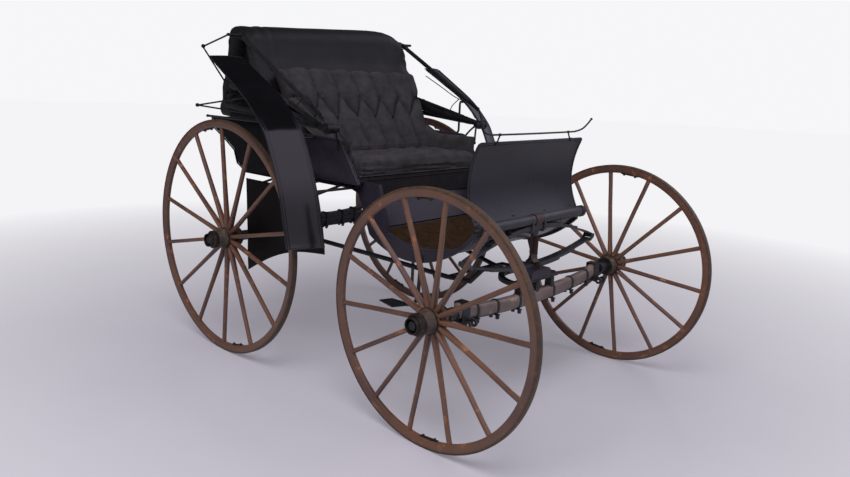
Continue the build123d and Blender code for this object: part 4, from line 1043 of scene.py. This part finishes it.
def add_bows():
    """The folded bows: grooved wooden legs in iron ends, all hinged on one stud at each side of the seat."""
    wood, irons = bmesh.new(), bmesh.new()
    for side, angles in ((-1, (20.5, 12.0, 4.5)), (1, (13.0, 12.0, 5.0))):
        crank = Vector((0, *first_bow_point(side, 0)))
        for index, angle in enumerate((FIRST_BOW_ANGLE, *angles)):
            stud = (PIVOT_Y, PIVOT_Z) if index else (crank.y, crank.z)
            start, reach = (0.14, BOW_LENGTH) if index else (0.06, FIRST_BOW_LENGTH)
            tilt = Matrix.Rotation(math.radians(angle), 4, "X")
            turn = Matrix.Translation((PIVOT_X * side, *stud)) @ Matrix.Diagonal((side, 1, 1, 1)) @ tilt
            leg = bmesh.new()
            add_block(leg, (-0.005, start, -0.0085), (0.005, reach - 0.02, 0.0085), 0.0035, 3)
            for z in (-0.0080, 0.0080):
                add_rod(leg, [(0, start + 0.01, z), (0, reach - 0.03, z)], 0.0042, around=3)
            add_block(leg, (-0.030, reach - 0.030, -0.009), (0.005, reach, 0.009), 0.006, 3)
            merge(wood, leg, turn)
            socket = bmesh.new()
            if index:
                step = (index - 1.5) * 0.0024
                add_block(socket, (step - 0.0016, 0.012, -0.0075), (step + 0.0016, 0.060, 0.0075), 0.0008, 1)
            add_block(socket, (-0.0055, start - 0.09 if index else -0.004, -0.0100),
                      (0.0055, start + 0.02, 0.0100), 0.003, 2)
            for y in (start - 0.06, start - 0.005):
                add_knob(socket, (0.0055, y, 0), 0.0042, 0.003)
            merge(irons, socket, turn)
        x = PIVOT_X * side
        add_rod(irons, smooth_line([(x, PIVOT_Y + 0.004, PIVOT_Z + 0.012),
                                    (x, PIVOT_Y + 0.016, PIVOT_Z + 0.036),
                                    (x, crank.y - 0.008, crank.z - 0.008),
                                    (x, crank.y + 0.02, crank.z + 0.0115)], 14), 0.0062)
        add_knob(irons, (x - side * 0.024, PIVOT_Y, PIVOT_Z), 0.0225, 0.052)
        add_knob(irons, (x, PIVOT_Y, PIVOT_Z), 0.0250, 0.0125)
        add_knob(irons, (x + side * 0.0080, PIVOT_Y, PIVOT_Z), 0.0160, 0.006)
        add_hex(irons, (x + side * 0.0130, PIVOT_Y, PIVOT_Z), 0.0095, 0.008, "X")
        add_rod(irons, smooth_line([(side * 0.548, y, z) for y, z in GUARD_LINE], 40), 0.0026, around=3)
        add_rod(irons, smooth_line([(side * 0.548, y, z) for y, z in GUARD_TIE], 12), 0.0026, around=3)
    finish(wood, "bow_legs", HARNESS_LEATHER, "carriage", ["hood_bows"], crease=40)
    finish(irons, "bow_irons", BARE_BLACK_IRON, "carriage", ["hood_bows"])


def add_props():
    """The jointed props that hold the top up when it is raised, folded at their knuckles."""
    irons = bmesh.new()
    prop_x = PIVOT_X + 0.0055 + 0.064
    for side in (-1, 1):
        upper = first_bow_point(side, FIRST_BOW_LENGTH - 0.020), (0.9284, 1.5163), bow_point(12.0, 0.655)
        lower = bow_point(12.0, 0.535), (0.9984, 1.2203), bow_point(5.0, 0.410)
        for first, knuckle, last in (upper, lower):
            for end_point, lean in ((first, -0.004), (last, 0.004)):
                line = [(side * prop_x, *end_point), (side * (prop_x + 0.004 + lean), *knuckle)]
                add_rod(irons, line, 0.0042)
                add_knob(irons, (side * prop_x, *end_point), 0.0075, 0.011)
                add_rod(irons, [(side * (PIVOT_X + 0.0055), *end_point), (side * prop_x, *end_point)], 0.0060)
                add_knob(irons, (side * (PIVOT_X + 0.008), *end_point), 0.0095, 0.005)
                add_hex(irons, (side * (prop_x + 0.0075), *end_point), 0.0055, 0.005, "X")
            add_knob(irons, (side * (prop_x + 0.004), *knuckle), 0.0095, 0.013)
            add_knob(irons, (side * (prop_x + 0.004), *knuckle), 0.0045, 0.020)
    finish(irons, "folding_props", BARE_BLACK_IRON, "carriage", ["prop_irons"])


def add_body_irons():
    """The irons that carry the rear wings, the curtains and the folded top."""
    irons = bmesh.new()
    fender = smooth_line([(0, REAR_AXLE_Y + y, REAR_RADIUS + z) for y, z in WING_LINE], 101)

    def under(share, x):
        """A point under the wing, a share of the way up it. The wing slants to the rear as it goes out."""
        here, above = fender[round(share * 100)], fender[round(share * 100) + 1]
        ahead = (above - here).normalized()
        out = (x - (WING_INNER + WING_OUTER) / 2) / (WING_OUTER - WING_INNER)
        return x, here.y + 0.0102 * ahead.z + WING_SLANT * out, here.z - 0.0102 * ahead.y

    low_end, high_end = under(0.28, 0.638), under(0.72, 0.610)
    add_rod(irons, bent([under(0.28, 0.772), low_end, (0.402, low_end[1], 0.8943)], 0.045), 0.0062)
    add_rod(irons, bent([under(0.72, 0.772), high_end, (*high_end[:2], PIVOT_Z - 0.060),
                         (0.452, high_end[1], PIVOT_Z - 0.060)], 0.022), 0.0062)
    add_rod(irons, bent([(0.452, 0.4494, PIVOT_Z - 0.060), (0.575, 0.4744, PIVOT_Z),
                         (0.575, 0.9994, PIVOT_Z)], 0.040), 0.0062)
    for y in (REAR_AXLE_Y - 0.560, REAR_AXLE_Y - 0.330, 0.5244):
        add_rod(irons, [(0.402, y, 0.9043), (0.591, y, 0.8623)], 0.0060)
        add_knob(irons, (0.404, y, 0.904), 0.015, 0.005)
        add_knob(irons, (0.5895, y, 0.8626), 0.010, 0.004)
    add_knob(irons, (0.575, 0.9994, PIVOT_Z), 0.0078)
    for share in (0.28, 0.72):
        for x in (0.655, 0.762):
            add_knob(irons, under(share, x), 0.0085, 0.016)
    mirror(irons)
    finish(irons, "wing_and_top_irons", PAINTED_IRON, "carriage", ["body_irons"])


def add_dash_irons():
    """The rail over the dash with rising ends, its two posts, and the stays up the back of the leather."""
    irons = bmesh.new()
    rail_y, top_z, rail_z, half = -0.6796, 1.1583, 1.1883, 0.412
    right = [(-half - 0.001, rail_y - 0.024, rail_z + 0.058), (-0.397, rail_y - 0.016, rail_z + 0.036),
             (-0.371, rail_y - 0.007, rail_z + 0.014), (-0.330, rail_y - 0.001, rail_z + 0.003),
             (-0.270, rail_y, rail_z)]
    line = right + [(0, rail_y, rail_z - 0.001)] + [(-x, y, z) for x, y, z in reversed(right)]
    add_rod(irons, smooth_line(line, 90), 0.0040)
    for side in (-1, 1):
        add_knob(irons, (side * (half + 0.001), rail_y - 0.0245, rail_z + 0.0585), 0.0058)
        post = [(side * 0.283, rail_y, top_z - 0.012), (side * 0.272, rail_y, top_z + 0.004),
                (side * 0.258, rail_y, rail_z)]
        add_rod(irons, smooth_line(post, 9), 0.0034)
        add_knob(irons, (side * 0.281, rail_y, top_z + 0.001), 0.0072, 0.006, "Z")
        add_knob(irons, (side * 0.258, rail_y, rail_z), 0.0062, 0.010)
    for station in (0.120, 0.335, 0.370):
        for side in (-1, 1):
            steps = []
            for k in range(10):
                share = k / 18
                steps.append((side * station, DASH_Y + 0.0088 + dash_belly(share),
                              DASH_FOOT_Z + DASH_RISE * share))
            for (x, y, z), (x2, y2, z2) in zip(steps, steps[1:]):
                low = x - 0.008, min(y, y2) - 0.001, z - 0.0005
                high = x2 + 0.008, max(y, y2) + 0.004, z2 + 0.0005
                add_block(irons, low, high, 0.0006, 1)
            low, high = (side * station - 0.008, -0.6763, 0.786), (side * station + 0.008, -0.6713, 0.8240)
            add_block(irons, low, high, 0.0010, 1)
            for share in (0.12, 0.40):
                spot = side * station, DASH_Y + 0.0155 + dash_belly(share), DASH_FOOT_Z + DASH_RISE * share
                add_knob(irons, spot, 0.0055, 0.004, "Y")
    finish(irons, "dash_rail_and_stays", PAINTED_IRON, "carriage", ["dash_irons"])


def add_spring_bar():
    """The turned wooden bar across the front spring, with its iron collars and end pins."""
    profile = [(-0.392, 0.0), (-0.392, 0.0205), (-0.388, 0.0228), (-0.384, 0.0235), (0.384, 0.0235),
               (0.388, 0.0228), (0.392, 0.0205), (0.392, 0.0)]
    bar = turned(profile, 40)
    bar.transform(Matrix.Translation((0, SPRING_Y, BAR_Z)))
    finish(bar, "turned_spring_bar", SPRING_STEEL, "carriage", ["front_spring_bar"])
    irons = bmesh.new()
    for side in (-1, 1):
        collar = turned([(0.3645, 0.0236), (0.3645, 0.0256), (0.3670, 0.0270), (0.3840, 0.0270),
                         (0.3865, 0.0256), (0.3865, 0.0236)], 40)
        merge(irons, collar, Matrix.Translation((0, SPRING_Y, BAR_Z)) @ Matrix.Diagonal((side, 1, 1, 1)))
        pin = turned([(0.392, 0.0), (0.392, 0.0120), (0.3945, 0.0130), (0.398, 0.0125), (0.400, 0.0072),
                      (0.402, 0.0060), (0.424, 0.0056), (0.427, 0.0050), (0.428, 0.0)], 24)
        merge(irons, pin, Matrix.Translation((0, SPRING_Y, BAR_Z)) @ Matrix.Diagonal((side, 1, 1, 1)))
    finish(irons, "spring_bar_irons", PAINTED_IRON, "carriage", ["front_spring_bar"])


def add_front_bed():
    """The front axle's rounded wooden bed over its iron, its clips bolted below, and its turning plate."""
    def low(x):
        return 0.4400 + 0.040 * (x / 0.535) ** 2

    def high(x):
        end = max(0.0, min(1.0, (abs(x) - 0.455) / 0.03))
        return low(x) + 0.064 - 0.010 * abs(x) / 0.535 + 0.0115 * end * end * (3 - 2 * end)

    def ring_at(x, more=0.0):
        return (Matrix.Translation((x, FRONT_AXLE_Y, (low(x) + high(x)) / 2))
                @ Matrix.Rotation(math.pi / 2, 4, "Y")
                @ Matrix.Diagonal(((high(x) - low(x)) / 2 + more, 0.0215 + more, 1, 1)))

    stations = [-0.535, -0.533] + [k * 0.535 / 24 for k in range(-23, 24)] + [0.533, 0.535]
    bed = swept([ring_at(x, -0.003 if abs(x) > 0.534 else 0.0) for x in stations], 28, 0.72)
    finish(bed, "rounded_axle_bed", BED_ASH, "front_gear", ["front_axle_bed"], crease=50)
    irons = bmesh.new()
    for x in (-0.425, -0.290, -0.132, 0.132, 0.290, 0.425):
        band = swept([ring_at(x - 0.007, 0.0005), ring_at(x - 0.006, 0.0030), ring_at(x + 0.006, 0.0030),
                      ring_at(x + 0.007, 0.0005)],
                     28, 0.72)
        merge(irons, band)
        foot = low(x)
        add_block(irons, (x - 0.008, FRONT_AXLE_Y - 0.026, foot - 0.007),
                  (x + 0.008, FRONT_AXLE_Y + 0.026, foot - 0.001), 0.0015)
        for y in (-0.017, 0.017):
            add_knob(irons, (x, FRONT_AXLE_Y + y, foot - 0.014), 0.0085, 0.016, "Z")
    for x in (-0.118, 0.0, 0.118):
        add_block(irons, (x - 0.014, FRONT_AXLE_Y - 0.018, 0.490), (x + 0.014, FRONT_AXLE_Y + 0.018, 0.5418),
                  0.004)
    plate_low, plate_high = 0.5420, 0.5510
    half_ring = bmesh.new()
    inner, outer = 0.1390, 0.1650
    corners = [half_ring.verts.new((r, 0, z)) for r, z in ((inner, plate_low), (outer, plate_low),
                                                           (outer, plate_high), (inner, plate_high))]
    edges = [half_ring.edges.new(ends) for ends in zip(corners, corners[1:] + corners[:1])]
    bmesh.ops.spin(half_ring, geom=corners + edges, axis=(0, 0, 1), angle=math.pi, steps=40)
    close_ends(half_ring)
    merge(irons, half_ring, Matrix.Translation((0, FRONT_AXLE_Y, 0)))
    add_block(irons, (-outer + 0.004, FRONT_AXLE_Y - 0.0160, plate_low),
              (outer - 0.004, FRONT_AXLE_Y + 0.0160, plate_high), 0.001)
    finish(irons, "banding_clips_and_plate", PAINTED_IRON, "front_gear",
           ["lower_fifth_wheel"])


def add_steps():
    """A forged step hung below the body's side: a bent stem that ends in a flat pad."""
    irons = bmesh.new()
    for side in (-1, 1):
        stem = [(0.398, -0.405, 0.650), (0.412, -0.412, 0.600), (0.430, -0.424, 0.530),
                (0.438, -0.425, 0.480), (0.440, -0.408, 0.446), (0.444, -0.365, 0.4315)]
        add_rod(irons, smooth_line([(side * x, y, z) for x, y, z in stem], 30), 0.0085)
        add_knob(irons, (side * 0.404, -0.404, 0.640), 0.014, 0.010)
        outline = [(0.486, -0.239), (0.425, -0.260), (0.422, -0.320), (0.428, -0.366), (0.458, -0.370),
                   (0.513, -0.348)]
        pad = plate([(side * x, y, 0.427) for x, y in outline], (0, 0, 0.006))
        round_edges(pad, pad.edges[:], 0.0018, 2)
        merge(irons, pad)
        for k in range(4):
            y = -0.345 + 0.026 * k
            add_rod(irons, [(side * 0.434, y, 0.4332), (side * 0.490, y + 0.008, 0.4332)], 0.0020, around=2)
    finish(irons, "hung_steps", PAINTED_IRON, "carriage")


def add_rebound_strap():
    """The leather strap that holds the bar down to the lower spring, buckled tight round both."""
    bm = bmesh.new()
    over, half = 0.0252, 0.0215
    leg = [(over, BAR_Z), (0.0200, BAR_Z - 0.020), (0.0080, BAR_Z - 0.042), (0.0022, 0.740), (0.0022, 0.660),
           (0.0080, 0.640), (0.0218, 0.626), (0.0218, 0.602), (0.0180, 0.5965)]
    arc = [(-over * math.cos(k * math.pi / 12), BAR_Z + over * math.sin(k * math.pi / 12))
           for k in range(1, 12)]
    loop = [(-y, z) for y, z in reversed(leg)] + arc + leg
    line = [Vector((0, SPRING_Y + y, z)) for y, z in loop + loop[:1]]
    for a, b in zip(line, line[1:]):
        away = (b - a).normalized()
        turn = Matrix.Translation((a + b) / 2) @ away.to_track_quat("Z", "X").to_matrix().to_4x4()
        band = bmesh.new()
        reach = (b - a).length / 2 + 0.0008
        add_block(band, (-0.0016, -half, -reach), (0.0016, half, reach), 0.0006, 1)
        merge(bm, band, turn)
    finish(bm, "buckled_rebound_strap", STRAP_LEATHER, "carriage", ["rebound_strap"])


add_camera()
add_lamp("key_lamp", (-3.0, -1.8, 5.0), 3.2, 290)
add_lamp("fill_lamp", (4.2, -2.6, 4.0), 4.0, 90)
add_lamp("rim_lamp", (-1.5, 4.4, 4.6), 4.0, 80)
dress_cad()
add_floor()
add_world()

add_wheel("front_right", FRONT_RADIUS, FRONT_AXLE_Y, -1, -8.3)
add_wheel("front_left", FRONT_RADIUS, FRONT_AXLE_Y, 1, -7.3)
add_wheel("rear_right", REAR_RADIUS, REAR_AXLE_Y, -1, -0.7)
add_wheel("rear_left", REAR_RADIUS, REAR_AXLE_Y, 1, 3.2)

add_back_cushion()
add_seat_cushion()
add_seat_fall()
add_floor_mat()
add_dash()
add_wing(-1, "right")
add_wing(1, "left")
add_curtains()
add_boot()
add_hood()
add_bows()
add_bow_rolls()
add_seat_sides()
add_side_linings()
add_props()
add_body_irons()
add_dash_irons()
add_spring_bar()
add_rebound_strap()
add_front_bed()
add_steps()
